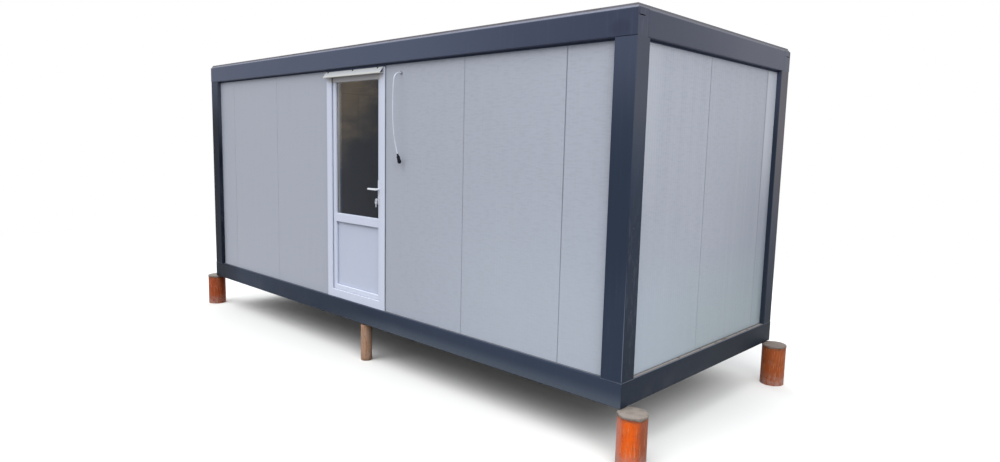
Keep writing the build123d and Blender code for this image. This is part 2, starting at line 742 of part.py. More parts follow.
def key(plane, length):
    """One key: a round bow with a hole, and a shank of that length along the plane's -Y."""
    bow = Circle(KEY_BOW_RADIUS)
    shank_end = KEY_BOW_RADIUS + length
    shank = Pos(0, -shank_end / 2) * Rectangle(KEY_BOW_RADIUS * 0.6, shank_end)
    hole = Pos(0, KEY_BOW_RADIUS - KEY_HOLE_RADIUS - RING_WIRE * 2) * Circle(KEY_HOLE_RADIUS)
    face = bow + shank - hole
    return extrude(plane * face, amount=KEY_THICKNESS / 2, both=True)


def keys():
    """A key in the lock, with a ring and a second key hanging from it."""
    face_y = PLATE_Y0 - LOCK_PROUD
    reach = KEY_BOW_RADIUS + KEY_STUB
    first_plane = Plane(origin=(HANDLE_X, face_y - reach, LOCK_Z), x_dir=(0, 0, 1), z_dir=(1, 0, 0))
    first = key(first_plane, KEY_STUB)
    hole_y = face_y - reach - (KEY_BOW_RADIUS - KEY_HOLE_RADIUS - RING_WIRE * 2)
    ring_z = LOCK_Z - RING_RADIUS + KEY_HOLE_RADIUS - RING_WIRE * 1.3
    band = RegularPolygon(RING_RADIUS + RING_WIRE, RING_SIDES)
    band -= RegularPolygon(RING_RADIUS - RING_WIRE, RING_SIDES)
    band = extrude(band, amount=RING_WIRE, both=True)
    ring = Pos(HANDLE_X, hole_y, ring_z) * Rot(90, 0, 0) * band
    drop = KEY_BOW_RADIUS - KEY_HOLE_RADIUS - RING_WIRE * 2
    second_z = ring_z - RING_RADIUS - drop + KEY_HOLE_RADIUS - RING_WIRE * 1.3
    second_plane = Plane(origin=(HANDLE_X, hole_y, second_z), x_dir=(0, 1, 0), z_dir=(1, 0, 0))
    second = key(second_plane, KEY_BLADE)
    return [first, ring, second]


def drip_cap():
    """Folded strip: a fixing flange, a slope and a return lip."""
    top = BEAM_BOTTOM - DRIP_TOP_GAP
    low = top - DRIP_DROP
    y = FRAME_Y0
    points = [
        (y, top - DRIP_FLANGE),
        (y, top),
        (y - DRIP_SHEET * 2, top),
        (y - DRIP_REACH, low + DRIP_LIP),
        (y - DRIP_REACH, low),
        (y, low),
    ]
    plane = Plane(origin=(FRAME_X0, 0, 0), x_dir=(0, 1, 0), z_dir=(1, 0, 0))
    section = plane * folded_face(points, DRIP_SHEET)
    return extrude(section, amount=DRIP_LENGTH, dir=(1, 0, 0))


# Cable route: sideways, out of the wall and height steps from the grommet's mouth
CABLE_STEPS = [
    (0, 0, 0),
    (0, -29, 0),
    (1, -56, -14),
    (1, -73, -41),
    (-1, -78, -81),
    (-4, -80, -142),
    (-8, -79, -240),
    (-10, -78, -350),
    (-9, -74, -452),
    (-7, -64, -545),
    (-2, -52, -622),
    (12, -43, -684),
]


def cable_points():
    """The route's points in the cabin's frame."""
    y = FRONT + WALL_RECESS - GROMMET_PROUD
    z = BASE_BOTTOM + CABLE_HEIGHT
    return [Vector(CABLE_X + a, y + b, z + c) for a, b, c in CABLE_STEPS]


def cable():
    """Straight runs joined by arcs as large as the runs allow."""
    points = cable_points()
    radii = []
    for before, here, after in zip(points, points[1:], points[2:]):
        run = min((here - before).length, (after - here).length)
        turn = (here - before).get_angle(after - here)
        radii.append(0.45 * run / math.tan(math.radians(turn) / 2))
    print("cable radii", [round(r, 1) for r in radii])
    path = FilletPolyline(*points, radius=radii)
    start = Plane(origin=points[0], z_dir=points[1] - points[0])
    section = RegularPolygon(CABLE_DIAMETER / 2, CABLE_SIDES)
    tube = sweep(start * section, path=path.wire())
    print("cable length", round(path.length, 1), "tube volume over length and section",
          round(tube.volume / (section.area * path.length), 5))
    return tube


def cable_grommet():
    """A flanged collar in the panel where the cable comes out."""
    y = FRONT + WALL_RECESS
    z = BASE_BOTTOM + CABLE_HEIGHT
    return round_bar(CABLE_X, z, y - GROMMET_PROUD, y, GROMMET_RADIUS)


def cable_connector():
    """A tapered connector on the cable's free end."""
    points = cable_points()
    away = (points[-1] - points[-2]).normalized()
    plane = Plane(origin=points[-1], z_dir=away)
    nose_start = CONNECTOR_LENGTH - CONNECTOR_NOSE
    stations = [
        (0, CONNECTOR_NECK_RADIUS),
        (CONNECTOR_TAPER, CONNECTOR_RADIUS),
        (nose_start, CONNECTOR_RADIUS),
    ]
    rings = [Pos(0, 0, z) * RegularPolygon(radius, CONNECTOR_SIDES) for z, radius in stations]
    nose = Pos(0, 0, nose_start) * RegularPolygon(CONNECTOR_NOSE_RADIUS, CONNECTOR_SIDES)
    return plane * (loft(rings, ruled=True) + extrude(nose, CONNECTOR_NOSE))


def pile_places():
    """Centres of the corner piles, which stand partly outside the cabin."""
    y_front = FRONT + PILE_FRONT_INSET
    y_rear = REAR - PILE_REAR_INSET
    xs = (LEFT - PILE_OUTSET, RIGHT + PILE_OUTSET)
    return [(x, y) for x in xs for y in (y_front, y_rear)]


def pile_pipes():
    """Short lengths of drain pipe used as shuttering."""
    radius = PILE_DIAMETER / 2
    face = Circle(radius) - Circle(radius - PIPE_WALL)
    height = PILE_HEIGHT - PIPE_RIM_DROP
    return [Pos(x, y, 0) * extrude(face, height) for x, y in pile_places()]


def pile_cores():
    """The concrete in each pipe, standing a little above its rim."""
    core = extrude(Circle(PILE_DIAMETER / 2 - PIPE_WALL - CORE_PLAY), PILE_HEIGHT)
    core = chamfer(core.edges().sort_by(Axis.Z)[-1], CORE_EDGE)
    return [Pos(x, y, 0) * core for x, y in pile_places()]


def middle_post_places():
    """Centres of the posts under the middle of the long beams."""
    y_front = FRONT + MIDDLE_POST_INSET
    y_rear = REAR - MIDDLE_POST_INSET
    return [(MIDDLE_POST_X, y_front), (MIDDLE_POST_X, y_rear)]


def middle_posts():
    """Round posts whose tops stop a shim's height below the beams."""
    post = extrude(Circle(MIDDLE_POST_DIAMETER / 2), PILE_HEIGHT - SHIM_HEIGHT)
    post = chamfer(post.edges().sort_by(Axis.Z)[-1], MIDDLE_POST_EDGE)
    return [Pos(x, y, 0) * post for x, y in middle_post_places()]


def post_shims():
    """Packing pieces between the middle posts and the beams."""
    height = SHIM_HEIGHT
    shim = Pos(-SHIM_OFFSET, 0, PILE_HEIGHT - height / 2) * Box(SHIM_WIDTH, SHIM_LENGTH, height)
    return [Pos(x, y, 0) * shim for x, y in middle_post_places()]


def save(name, shape):
    """Write one node; a list becomes a compound of separate solids."""
    pieces = shape if isinstance(shape, list) else [shape]
    solids = [s for piece in pieces for s in piece.solids()]
    node = solids[0] if len(solids) == 1 else Compound(children=solids)
    export_step(node, f"parts/{name}.step")


def main():
    os.makedirs("parts", exist_ok=True)
    for side in SIDES:
        save(f"base_{side}_beam", base_beam(side))
    save("corner_posts", corner_posts())
    save("top_front_beam", long_top_beam("front"))
    save("top_rear_beam", long_top_beam("rear"))
    save("top_left_beam", short_top_beam("left"))
    save("top_right_beam", short_top_beam("right"))
    joist_bottom = BASE_TOP - DECK_THICKNESS - FLOOR_JOIST_HEIGHT
    save("floor_joists",
         joists(FLOOR_JOIST_HEIGHT, FLOOR_JOIST_WIDTH, FLOOR_JOIST_PITCH, joist_bottom))
    roof_bottom = BEAM_TOP - BEND_RADIUS - ROOF_JOIST_HEIGHT
    save("roof_joists",
         joists(ROOF_JOIST_HEIGHT, ROOF_JOIST_WIDTH, ROOF_JOIST_PITCH, roof_bottom))
    save("floor_deck", floor_deck())
    save("ceiling_panels", ceiling_panels())
    save("roof_sheet", roof_sheet())
    save("roof_edge_trim", roof_edge_trim())
    save("wall_head_channels", head_channels())

    door_end = DOOR_START + DOOR_OPENING
    left_seams = [DOOR_START - DOOR_SIDE_PANEL - PANEL_MODULE, DOOR_START - DOOR_SIDE_PANEL]
    right_seams = module_seams(door_end + PANEL_MODULE, LENGTH)
    end_seams = module_seams(END_FIRST_SEAM, WIDTH)
    rear_seams = module_seams(REAR_FIRST_SEAM, LENGTH)
    save("front_wall_left", wall("front", WALL_RECESS, left_seams, DOOR_START))
    save("front_wall_right", wall("front", door_end, right_seams, LENGTH - WALL_RECESS))
    save("rear_wall", wall("rear", WALL_RECESS, rear_seams, LENGTH - WALL_RECESS))
    save("left_wall", wall("left", WALL_INNER, end_seams, WIDTH - WALL_INNER))
    save("right_wall", wall("right", WALL_INNER, end_seams, WIDTH - WALL_INNER))

    hinge_jamb, latch_jamb, head, sill = door_frame()
    save("door_frame_hinge_jamb", hinge_jamb)
    save("door_frame_latch_jamb", latch_jamb - keep_pockets())
    save("door_frame_head", head)
    save("door_frame_sill", sill)
    save("door_leaf", door_leaf())
    save("door_glass", glass_sheets())
    save("glass_spacer", glass_spacer())
    save("door_lower_panel", lower_panel())
    save("glazing_beads", glazing_beads())
    save("frame_hinges", frame_hinges())
    save("leaf_hinges", leaf_hinges())
    save("lock_plate", lock_plate())
    save("handle_plates", handle_plates())
    save("handle_levers", handle_levers())
    save("lock_cylinder", lock_cylinder())
    save("keys", keys())
    save("drip_cap", drip_cap())

    save("cable_grommet", cable_grommet())
    save("cable", cable())
    save("cable_connector", cable_connector())
    save("pile_pipes", pile_pipes())
    save("pile_cores", pile_cores())
    save("middle_posts", middle_posts())
    save("post_shims", post_shims())


main()
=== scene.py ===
"""Looks of the portable site cabin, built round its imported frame. Lengths in metres."""
import math

import bmesh
import bpy
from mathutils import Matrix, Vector, noise


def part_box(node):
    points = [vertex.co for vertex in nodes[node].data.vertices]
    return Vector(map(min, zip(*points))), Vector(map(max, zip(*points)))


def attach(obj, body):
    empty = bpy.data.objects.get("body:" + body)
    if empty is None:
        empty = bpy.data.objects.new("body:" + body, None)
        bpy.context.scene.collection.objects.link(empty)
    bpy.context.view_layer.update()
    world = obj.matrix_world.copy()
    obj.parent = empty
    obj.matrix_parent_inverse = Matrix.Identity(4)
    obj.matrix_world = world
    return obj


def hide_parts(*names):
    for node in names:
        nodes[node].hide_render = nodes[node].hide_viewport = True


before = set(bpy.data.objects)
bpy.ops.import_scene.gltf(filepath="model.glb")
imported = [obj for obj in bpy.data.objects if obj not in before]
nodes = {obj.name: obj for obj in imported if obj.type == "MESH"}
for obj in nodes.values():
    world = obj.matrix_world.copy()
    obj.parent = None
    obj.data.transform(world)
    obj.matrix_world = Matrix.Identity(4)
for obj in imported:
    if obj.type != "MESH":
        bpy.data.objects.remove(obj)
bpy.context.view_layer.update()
scene = bpy.context.scene
scene.view_settings.view_transform = "Standard"

CABIN = "cabin"
DOOR = "door"

# Places read from the frame
FRONT_LOW, FRONT_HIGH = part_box("base_front_beam")
POST_LOW, POST_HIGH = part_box("corner_posts")
FRONT_Y, REAR_Y = FRONT_LOW.y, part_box("base_rear_beam")[1].y
RIGHT_X = FRONT_HIGH.x
BASE_Z, SILL_Z, BEAM_Z = FRONT_LOW.z, POST_LOW.z, POST_HIGH.z
ROOF_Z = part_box("top_front_beam")[1].z
WALL_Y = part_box("front_wall_right")[0].y
JAMB_LOW, JAMB_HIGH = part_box("door_frame_hinge_jamb")[0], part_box("door_frame_latch_jamb")[1]
LEAF_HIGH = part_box("door_leaf")[1]
GLASS_LOW, GLASS_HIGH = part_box("door_glass")
PANEL_LOW, PANEL_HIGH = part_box("door_lower_panel")
LEVERS_LOW, LEVERS_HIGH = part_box("handle_levers")
LOCK_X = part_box("lock_cylinder")[0].x
STRIP_LOW, STRIP_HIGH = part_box("lock_plate")
STRIP_Y = (STRIP_LOW.y + STRIP_HIGH.y) / 2
NEAR_PILE = Vector((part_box("pile_cores")[1].x - 0.095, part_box("pile_cores")[0].y + 0.095, 0))

# Sizes that the frame's boxes don't give, as the solids have them
FRAME_LIP = 0.014
FRAME_FACE = 0.076
FRAME_BODY = 0.045
PANE_REBATE = 0.010
LEAF_OVERLAP = 0.007
FLAP = 0.004
POST_FRONT_FACE = 0.168
POST_END_FACE = 0.150
# Where the front wall's panels meet, and how dark each joint looks
FRONT_SEAMS = ((JAMB_HIGH.x + 1.003, 0.35), (JAMB_HIGH.x + 2.003, 0.8))
END_SEAMS = (FRONT_Y + 1.06, FRONT_Y + 2.06)
# Small sizes of what this script adds
LINE_PITCH = 0.03
STRIP_SCREW, FLAP_SCREW, DRIP_SCREW, ROOF_SCREW = 0.0036, 0.0034, 0.0085, 0.004
STRIP_INSET, FLAP_INSET = 0.012, 0.009
WELD_RADIUS = 0.0024

# Camera, at the photograph's viewing angle
LENS_MM = 24.3438
CAMERA_PLACE = (5.3208, -4.8027, 2.0380)
CAMERA_DEGREES = (82.9335, -1.3323, 43.6598)
camera_data = bpy.data.cameras.new("camera")
camera_data.sensor_width = 36.0
camera_data.lens = LENS_MM
camera_data.clip_end = 200.0
camera = bpy.data.objects.new("camera", camera_data)
camera.location = CAMERA_PLACE
camera.rotation_euler = [math.radians(a) for a in CAMERA_DEGREES]
scene.collection.objects.link(camera)
scene.camera = camera


def srgb(red, green, blue):
    """A colour as it shows on screen, 0 to 255, in Blender's linear values."""
    values = [c / 255 for c in (red, green, blue)]
    linear = [c / 12.92 if c <= 0.04045 else ((c + 0.055) / 1.055) ** 2.4 for c in values]
    return (*linear, 1.0)


class Graph:
    """A node tree whose helpers take sockets and plain values alike."""

    def __init__(self, tree):
        self.tree = tree

    def node(self, kind):
        """A new shader node of that kind."""
        return self.tree.nodes.new("ShaderNode" + kind)

    def put(self, socket, value):
        """Links a socket, or sets a plain value."""
        if isinstance(value, bpy.types.NodeSocket):
            self.tree.links.new(value, socket)
        else:
            socket.default_value = value

    def split(self, vector):
        """The three parts of a vector."""
        node = self.node("SeparateXYZ")
        self.put(node.inputs[0], vector)
        return node.outputs

    def calc(self, operation, a, b=0.0, c=0.0):
        """One Math node."""
        node = self.node("Math")
        node.operation = operation
        for socket, value in zip(node.inputs, (a, b, c)):
            self.put(socket, value)
        return node.outputs[0]

    def plain(self, kind, colour):
        """A plain shader of one colour."""
        node = self.node(kind)
        node.inputs["Color"].default_value = (*colour, 1.0)
        return node

    def mix(self, share, first, second):
        """Two shaders mixed by a share."""
        node = self.node("MixShader")
        for socket, value in zip(node.inputs, (share, first.outputs[0], second.outputs[0])):
            self.put(socket, value)
        return node

    def seen(self):
        """1 for what the camera sees, straight, mirrored or through glass."""
        rays = self.node("LightPath").outputs
        mirrored = self.calc("MAXIMUM", rays["Is Camera Ray"], rays["Is Glossy Ray"])
        return self.calc("MAXIMUM", mirrored, rays["Is Transmission Ray"])


class Finish(Graph):
    """A procedural material whose marks are placed in the row frame's metres."""

    def __init__(self, name, colour, roughness, metallic=0.0, specular=0.5):
        self.material = bpy.data.materials.new(name)
        self.material.use_nodes = True
        super().__init__(self.material.node_tree)
        self.shader = self.tree.nodes["Principled BSDF"]
        self.shader.inputs["Metallic"].default_value = metallic
        self.shader.inputs["Specular IOR Level"].default_value = specular
        self.colour = srgb(*colour)
        self.roughness = roughness
        coordinates = self.node("TexCoord")
        self.place = coordinates.outputs["Object"]
        self.facing = self.split(coordinates.outputs["Normal"])
        self.relief = None
        self.x, self.y, self.z = self.split(self.place)

    def times(self, *values):
        """The product of the values."""
        result = values[0]
        for value in values[1:]:
            result = self.calc("MULTIPLY", result, value)
        return result

    def step(self, value, low, high):
        """0 at low, 1 at high, smooth between; low may be above high."""
        node = self.node("MapRange")
        node.interpolation_type = "SMOOTHSTEP"
        self.put(node.inputs["Value"], value)
        node.inputs["From Min"].default_value = min(low, high)
        node.inputs["From Max"].default_value = max(low, high)
        node.inputs["To Min"].default_value = float(low > high)
        node.inputs["To Max"].default_value = float(low <= high)
        return node.outputs["Result"]

    def away(self, value, middle):
        """How far a value is from the middle, either way."""
        return self.calc("ABSOLUTE", self.calc("SUBTRACT", value, middle))

    def near(self, value, middle, half, soft):
        """1 within half of the middle, fading out over soft."""
        return self.step(self.away(value, middle), half + soft, half)

    def sideways(self, axis):
        """1 where the surface faces along that axis, either way."""
        return self.step(self.calc("ABSOLUTE", self.facing[axis]), 0.6, 0.9)

    def waves(self, size, detail=2.0, stretch=(1, 1, 1), shift=0.0, rough=0.5):
        """Noise with features about that size, drawn out by the stretch."""
        mapping = self.node("Mapping")
        self.put(mapping.inputs["Vector"], self.place)
        mapping.inputs["Location"].default_value = (shift, shift * 0.7, shift * 1.3)
        mapping.inputs["Scale"].default_value = [1 / (size * s) for s in stretch]
        node = self.node("TexNoise")
        self.put(node.inputs["Vector"], mapping.outputs[0])
        node.inputs["Scale"].default_value = 1.0
        node.inputs["Detail"].default_value = detail
        node.inputs["Roughness"].default_value = rough
        return node.outputs["Fac"]

    def patches(self, low, high, *args, **options):
        """Noise that is 0 up to low and 1 from high; the rest is as waves takes it."""
        return self.step(self.waves(*args, **options), low, high)

    def cells(self, size):
        """A random grey for each of many cells about that size."""
        mapping = self.node("Mapping")
        self.put(mapping.inputs["Vector"], self.place)
        mapping.inputs["Scale"].default_value = [1 / size] * 3
        node = self.node("TexVoronoi")
        self.put(node.inputs["Vector"], mapping.outputs[0])
        node.inputs["Scale"].default_value = 1.0
        return self.split(node.outputs["Color"])[0]

    def tint(self, colour, *shares):
        """Blends the colour towards another, as far as the shares multiply to."""
        amount = self.times(*shares)
        node = self.node("Mix")
        node.data_type = "RGBA"
        self.put(node.inputs["Factor"], amount)
        self.put(node.inputs[6], self.colour)
        self.put(node.inputs[7], srgb(*colour))
        self.colour = node.outputs[2]

    def wear(self, roughness, *shares):
        """Blends the roughness towards another, as far as the shares multiply to."""
        amount = self.times(*shares)
        node = self.node("Mix")
        self.put(node.inputs["Factor"], amount)
        self.put(node.inputs[2], self.roughness)
        self.put(node.inputs[3], roughness)
        self.roughness = node.outputs[0]

    def bump(self, height, depth, strength=1.0):
        """Adds relief of that depth."""
        node = self.node("Bump")
        node.inputs["Strength"].default_value = strength
        node.inputs["Distance"].default_value = depth
        self.put(node.inputs["Height"], height)
        if self.relief is not None:
            self.put(node.inputs["Normal"], self.relief)
        self.relief = node.outputs["Normal"]

    def done(self):
        """Gives the shader what the marks made, and returns the material."""
        self.put(self.shader.inputs["Base Color"], self.colour)
        self.put(self.shader.inputs["Roughness"], self.roughness)
        if self.relief is not None:
            self.put(self.shader.inputs["Normal"], self.relief)
        return self.material


def coat(material, *names):
    """Gives CAD nodes a material."""
    for name in names:
        nodes[name].data.materials.clear()
        nodes[name].data.materials.append(material)


def steel_paint(name, colour, lighter, specular):
    """Satin paint on folded steel: slight waves, faint runs, fine scratches."""
    f = Finish(name, colour, 0.42, specular=specular)
    broad = f.waves(0.9, 3, shift=3)
    f.tint(lighter, f.step(broad, 0.42, 0.72), 0.4)
    runs = f.patches(0.5, 0.75, 0.035, 4, (1, 1, 14), shift=7)
    f.tint([c + 26 for c in lighter], runs, 0.14)
    f.wear(0.5, f.step(broad, 0.35, 0.7))
    f.wear(0.62, f.patches(0.62, 0.7, 0.004, 3, (1, 1, 22), shift=13), 0.5)
    f.bump(f.waves(0.0022, 2), 0.00012, 0.5)
    f.bump(f.waves(0.22, 2, shift=9), 0.0035, 0.35)
    return f


def from_corner(f):
    """Distances in from the nearer end and from the nearer long side."""
    off_x = f.calc("SUBTRACT", RIGHT_X, f.calc("ABSOLUTE", f.x))
    off_y = f.calc("MINIMUM", f.calc("SUBTRACT", f.y, FRONT_Y), f.calc("SUBTRACT", REAR_Y, f.y))
    return off_x, off_y


def beam_paint():
    """The top beams: painted light, paler towards the left and the rear and greyer on the short
    sides; smears on the end plates.
    """
    f = steel_paint("beam_paint", (50, 57, 77), (56, 63, 84), 0.2)
    off_x, off_y = from_corner(f)
    # Painted light: the long faces paler towards the left, the short sides greyer and paler
    # towards the rear
    f.tint((72, 81, 103), f.sideways(1), f.step(f.x, 2.9, 0.6), 0.9)
    f.tint((64, 67, 82), f.sideways(0), 0.75)
    f.tint((88, 92, 105), f.sideways(0), f.step(f.y, -1.0, 1.0), 0.8)
    smudge_x = f.calc("SUBTRACT", f.x, RIGHT_X - 0.13)
    smudge_z = f.calc("SUBTRACT", f.z, BEAM_Z + 0.055)
    spread = f.calc("ADD", f.times(smudge_x, smudge_x), f.times(smudge_z, smudge_z, 2.0))
    f.tint((40, 46, 66), f.sideways(1), f.step(spread, 0.009, 0.0004), 0.6)
    plate = f.times(f.step(off_x, 0.0035, 0.0025), f.step(off_y, 0.118, 0.1))
    f.tint((96, 101, 114), plate, f.patches(0.45, 0.7, 0.012, 3, (1, 1, 9), shift=2), 0.2)
    rust = f.times(plate, f.step(off_y, 0.07, 0.11), f.step(f.z, ROOF_Z - 0.08, BEAM_Z + 0.02))
    f.tint((80, 70, 68), rust, f.patches(0.42, 0.62, 0.03, 4, shift=8), 0.5)
    up = f.step(f.facing[2], 0.6, 0.95)
    f.tint((104, 106, 110), up, f.patches(0.25, 0.6, 0.06, 4, shift=5), 0.6)
    return f.done()


def post_paint():
    """Posts and base: painted light and shade by place, worn arrises with a painted highlight,
    dusty ledges with a painted shadow line, a painted highlight on the lower edge.
    """
    f = steel_paint("post_paint", (48, 57, 73), (54, 63, 80), 0.05)
    off_x, off_y = from_corner(f)
    # Painted light and shade on the posts: the left ones darker; the short sides darker low down
    # and paler high up and to the rear; the long faces darker to the rear, paler high up and
    # darker at mid height on the right; a darker band on the front half of the short sides
    f.tint((13, 19, 30), f.step(f.x, -2.2, -2.9), 0.9)
    f.tint((32, 39, 50), f.sideways(0), f.step(f.z, BEAM_Z - 1.2, SILL_Z), 0.8)
    f.tint((77, 81, 92), f.sideways(0), f.step(f.z, BEAM_Z - 1.0, BEAM_Z - 0.3), 0.85)
    f.tint((110, 106, 110), f.sideways(0), f.step(f.y, 0.2, 1.1),
           f.step(f.z, SILL_Z, BEAM_Z - 0.4), 0.65)
    f.tint((46, 52, 62), f.sideways(1), f.step(f.y, 0.4, 0.9), 0.8)
    f.tint((72, 79, 98), f.sideways(1), f.step(f.z, BEAM_Z - 0.6, BEAM_Z), 0.75)
    halfway = f.near(f.z, BEAM_Z - 1.1, 0.25, 0.45)
    f.tint((40, 49, 64), f.sideways(1), halfway, f.step(f.x, 0.0, 1.0), 0.6)
    dark_band = f.near(f.z, BEAM_Z - 1.32, 0.12, 0.35)
    f.tint((40, 47, 62), f.sideways(0), dark_band, f.step(f.y, 0.0, -0.5), 0.7)
    dust = f.patches(0.42, 0.7, 0.25, 5, (1, 1, 0.6), shift=1)
    f.tint((100, 100, 104), dust, f.step(f.z, SILL_Z, BASE_Z), 0.12)
    # Painted light and shade on the base: darker below the sill on the front half of the short
    # sides, darker left of the middle of the long faces and paler to their right, and a painted
    # highlight along their lower edge on the right
    below_sill = f.step(f.z, SILL_Z + 0.02, SILL_Z - 0.02)
    f.tint((30, 36, 45), f.sideways(0), f.step(f.y, -0.5, 0.5), below_sill, 0.7)
    on_base = f.times(f.sideways(1), f.step(f.z, SILL_Z + 0.01, SILL_Z - 0.01))
    f.tint((38, 47, 62), on_base, f.near(f.x, -0.6, 0.7, 0.7), 0.6)
    f.tint((56, 65, 81), on_base, f.step(f.x, 0.6, 1.3), 0.6)
    foot = f.step(f.z, BASE_Z + 0.12, BASE_Z)
    f.tint((84, 92, 104), foot, f.sideways(1), f.step(f.x, -0.6, 0.8), 0.8)
    # Arrises worn and with a painted highlight, scuffs low on the short sides, and a painted
    # highlight where a post stands on the base
    arris = f.times(f.step(off_x, 0.005, 0.003), f.step(off_y, 0.005, 0.003))
    rubbed_and_highlight = f.patches(0.3, 0.5, 0.3, 3, (1, 1, 2.5), shift=11)
    lower_half = f.step(f.z, SILL_Z + 0.9, SILL_Z + 0.2)
    on_post = f.step(f.z, SILL_Z - 0.01, SILL_Z + 0.02)
    # Painted highlight on the arrises, patchy like worn paint
    f.tint((116, 127, 146), arris, rubbed_and_highlight, lower_half, on_post, 0.65)
    under_post = f.times(f.step(off_x, 0.17, 0.165), f.step(off_y, 0.152, 0.147))
    scuffs = f.patches(0.5, 0.64, 0.022, 5, (1, 1, 4), shift=21, rough=0.65)
    scuffed = f.times(f.sideways(0), f.step(f.y, -0.9, -1.05),
                      f.near(f.z, SILL_Z + 0.6, 0.35, 0.3))
    f.tint((86, 92, 99), scuffs, scuffed, 0.25)
    nicks = f.patches(0.64, 0.7, 0.01, 4, (1, 1, 3), shift=23)
    f.tint((108, 109, 111), nicks, scuffed, 0.3)
    # Painted highlight on the line where a post stands on the base
    seam = f.times(f.near(f.z, SILL_Z - 0.002, 0.002, 0.002), under_post)
    f.tint((118, 126, 142), seam, 0.4)
    # Ledges at the panels' foot
    up = f.step(f.facing[2], 0.6, 0.95)
    ledge = f.times(up, f.step(f.z, SILL_Z - 0.02, SILL_Z - 0.004))
    f.tint((112, 114, 119), ledge, f.step(off_y, 0.014, 0.02), 0.8)
    end_ledge = f.times(ledge, f.near(off_x, 0.025, 0.008, 0.004))
    f.tint((146, 138, 132), end_ledge, 0.9)
    # Painted shadow: a dark line at the foot of the end panels
    f.tint((40, 40, 44), ledge, f.near(off_x, 0.04, 0.003, 0.003))
    crumbs = f.patches(0.56, 0.66, 0.05, 4, (1, 1, 0.3), shift=5)
    f.tint((84, 66, 52), end_ledge, crumbs, 0.75)
    f.wear(0.75, up, 0.9)
    return f.done()


def panel_skin():
    """Coated steel skins: rolled lines, slight waves and dimples, painted light and shade by
    place, a foot at the ends darkened by dirt and painted shade.
    """
    f = Finish("panel_skin", (167, 172, 184), 0.42, specular=0.3)
    f.tint((166, 171, 184), f.patches(0.4, 0.75, 0.8, 3, shift=4), 0.35)
    f.tint((158, 161, 169), f.patches(0.52, 0.8, 0.03, 4, (1, 1, 18), shift=6), 0.22)
    ends = f.sideways(0)
    # Painted shade: the ends darker towards the rear and lower down
    f.tint((146, 152, 165), ends, f.step(f.y, -0.2, 1.0),
           f.step(f.z, BEAM_Z - 0.3, SILL_Z + 0.9), 0.85)
    # The ends' foot darker: dirt and a painted shadow in the joint
    foot = f.step(f.z, SILL_Z + 0.009, SILL_Z + 0.006)
    f.tint((84, 82, 80), foot, ends, 0.8)
    splash = f.patches(0.45, 0.75, 0.05, 5, (1, 1, 0.8), shift=2, rough=0.65)
    f.tint((150, 143, 132), f.step(f.z, SILL_Z + 0.1, SILL_Z), ends, splash, 0.25)
    ripple = f.waves(0.014, 3, (5, 5, 1), shift=15)
    f.tint((155, 160, 172), f.step(ripple, 0.46, 0.66), f.step(f.x, 0.2, 1.0), 0.4)
    f.bump(ripple, 0.0009, 0.5)
    # Skins darken where they fold in at their joints
    folded = (112, 117, 130)
    for seam, amount in FRONT_SEAMS:
        fold = f.near(f.x, seam, 0.003, 0.0035)
        f.tint(folded, fold, f.sideways(1), f.step(f.y, 0.0, -0.5), amount)
    above = f.step(f.z, SILL_Z + 0.9, BEAM_Z - 0.5)
    for seam in END_SEAMS:
        fold = f.near(f.y, seam, 0.003, 0.0035)
        lower = f.calc("MULTIPLY_ADD", f.step(f.z, SILL_Z + 0.6, SILL_Z + 1.4), 0.5, 0.4)
        f.tint(folded, fold, ends, lower)
    # Painted light: the ends paler high up on the far panel and beside the near post
    far_panel = f.step(f.y, END_SEAMS[1], END_SEAMS[1] + 0.03)
    f.tint((192, 196, 206), ends, far_panel, above, 0.8)
    near_post = f.step(f.y, FRONT_Y + 0.5, FRONT_Y + 0.15)
    f.tint((184, 189, 198), ends, near_post, above, 0.6)
    # Fine upright lines rolled into the skin on every side, LINE_PITCH apart
    along_wall = f.calc("ADD", f.x, f.y)
    wave = f.calc("SINE", f.calc("MULTIPLY", along_wall, 2 * math.pi / LINE_PITCH))
    line = f.step(wave, 0.8, 1.0)
    uneven = f.patches(0.3, 0.6, 0.06, 2, (1, 1, 40), shift=17)
    f.tint((140, 145, 157), line, uneven, f.calc("MULTIPLY_ADD", ends, 0.2, 0.14))
    bands = f.patches(0.45, 0.65, 0.08, 2, (1, 1, 40), shift=19)
    f.tint((178, 182, 193), ends, bands, 0.16)
    # Painted light: paler and cooler low down on the front half of each end and on the right of
    # each long side, greener low down on the rear half of each end
    f.tint((171, 184, 196), ends, f.step(f.y, 0.2, -0.8),
           f.step(f.z, SILL_Z + 1.2, SILL_Z + 0.2), 0.7)
    f.tint((150, 174, 170), ends, f.step(f.y, -0.9, 0.0),
           f.step(f.z, SILL_Z + 0.9, SILL_Z + 0.2), 0.3)
    f.tint((177, 186, 198), f.sideways(1), f.step(f.x, 0.6, 2.0),
           f.step(f.z, SILL_Z + 1.4, SILL_Z + 0.3), 0.5)
    f.bump(line, 0.0008, 0.7)
    f.bump(f.patches(0.45, 0.85, 0.03, 2, (1.6, 1.6, 0.7), shift=1), 0.0007, 0.6)
    f.bump(f.waves(0.014, 2, (1.8, 1.8, 0.8), shift=1), 0.0004, 0.45)
    f.bump(f.waves(0.35, 2, (1, 1, 1.6), shift=8), 0.006, 0.45)
    return f.done()


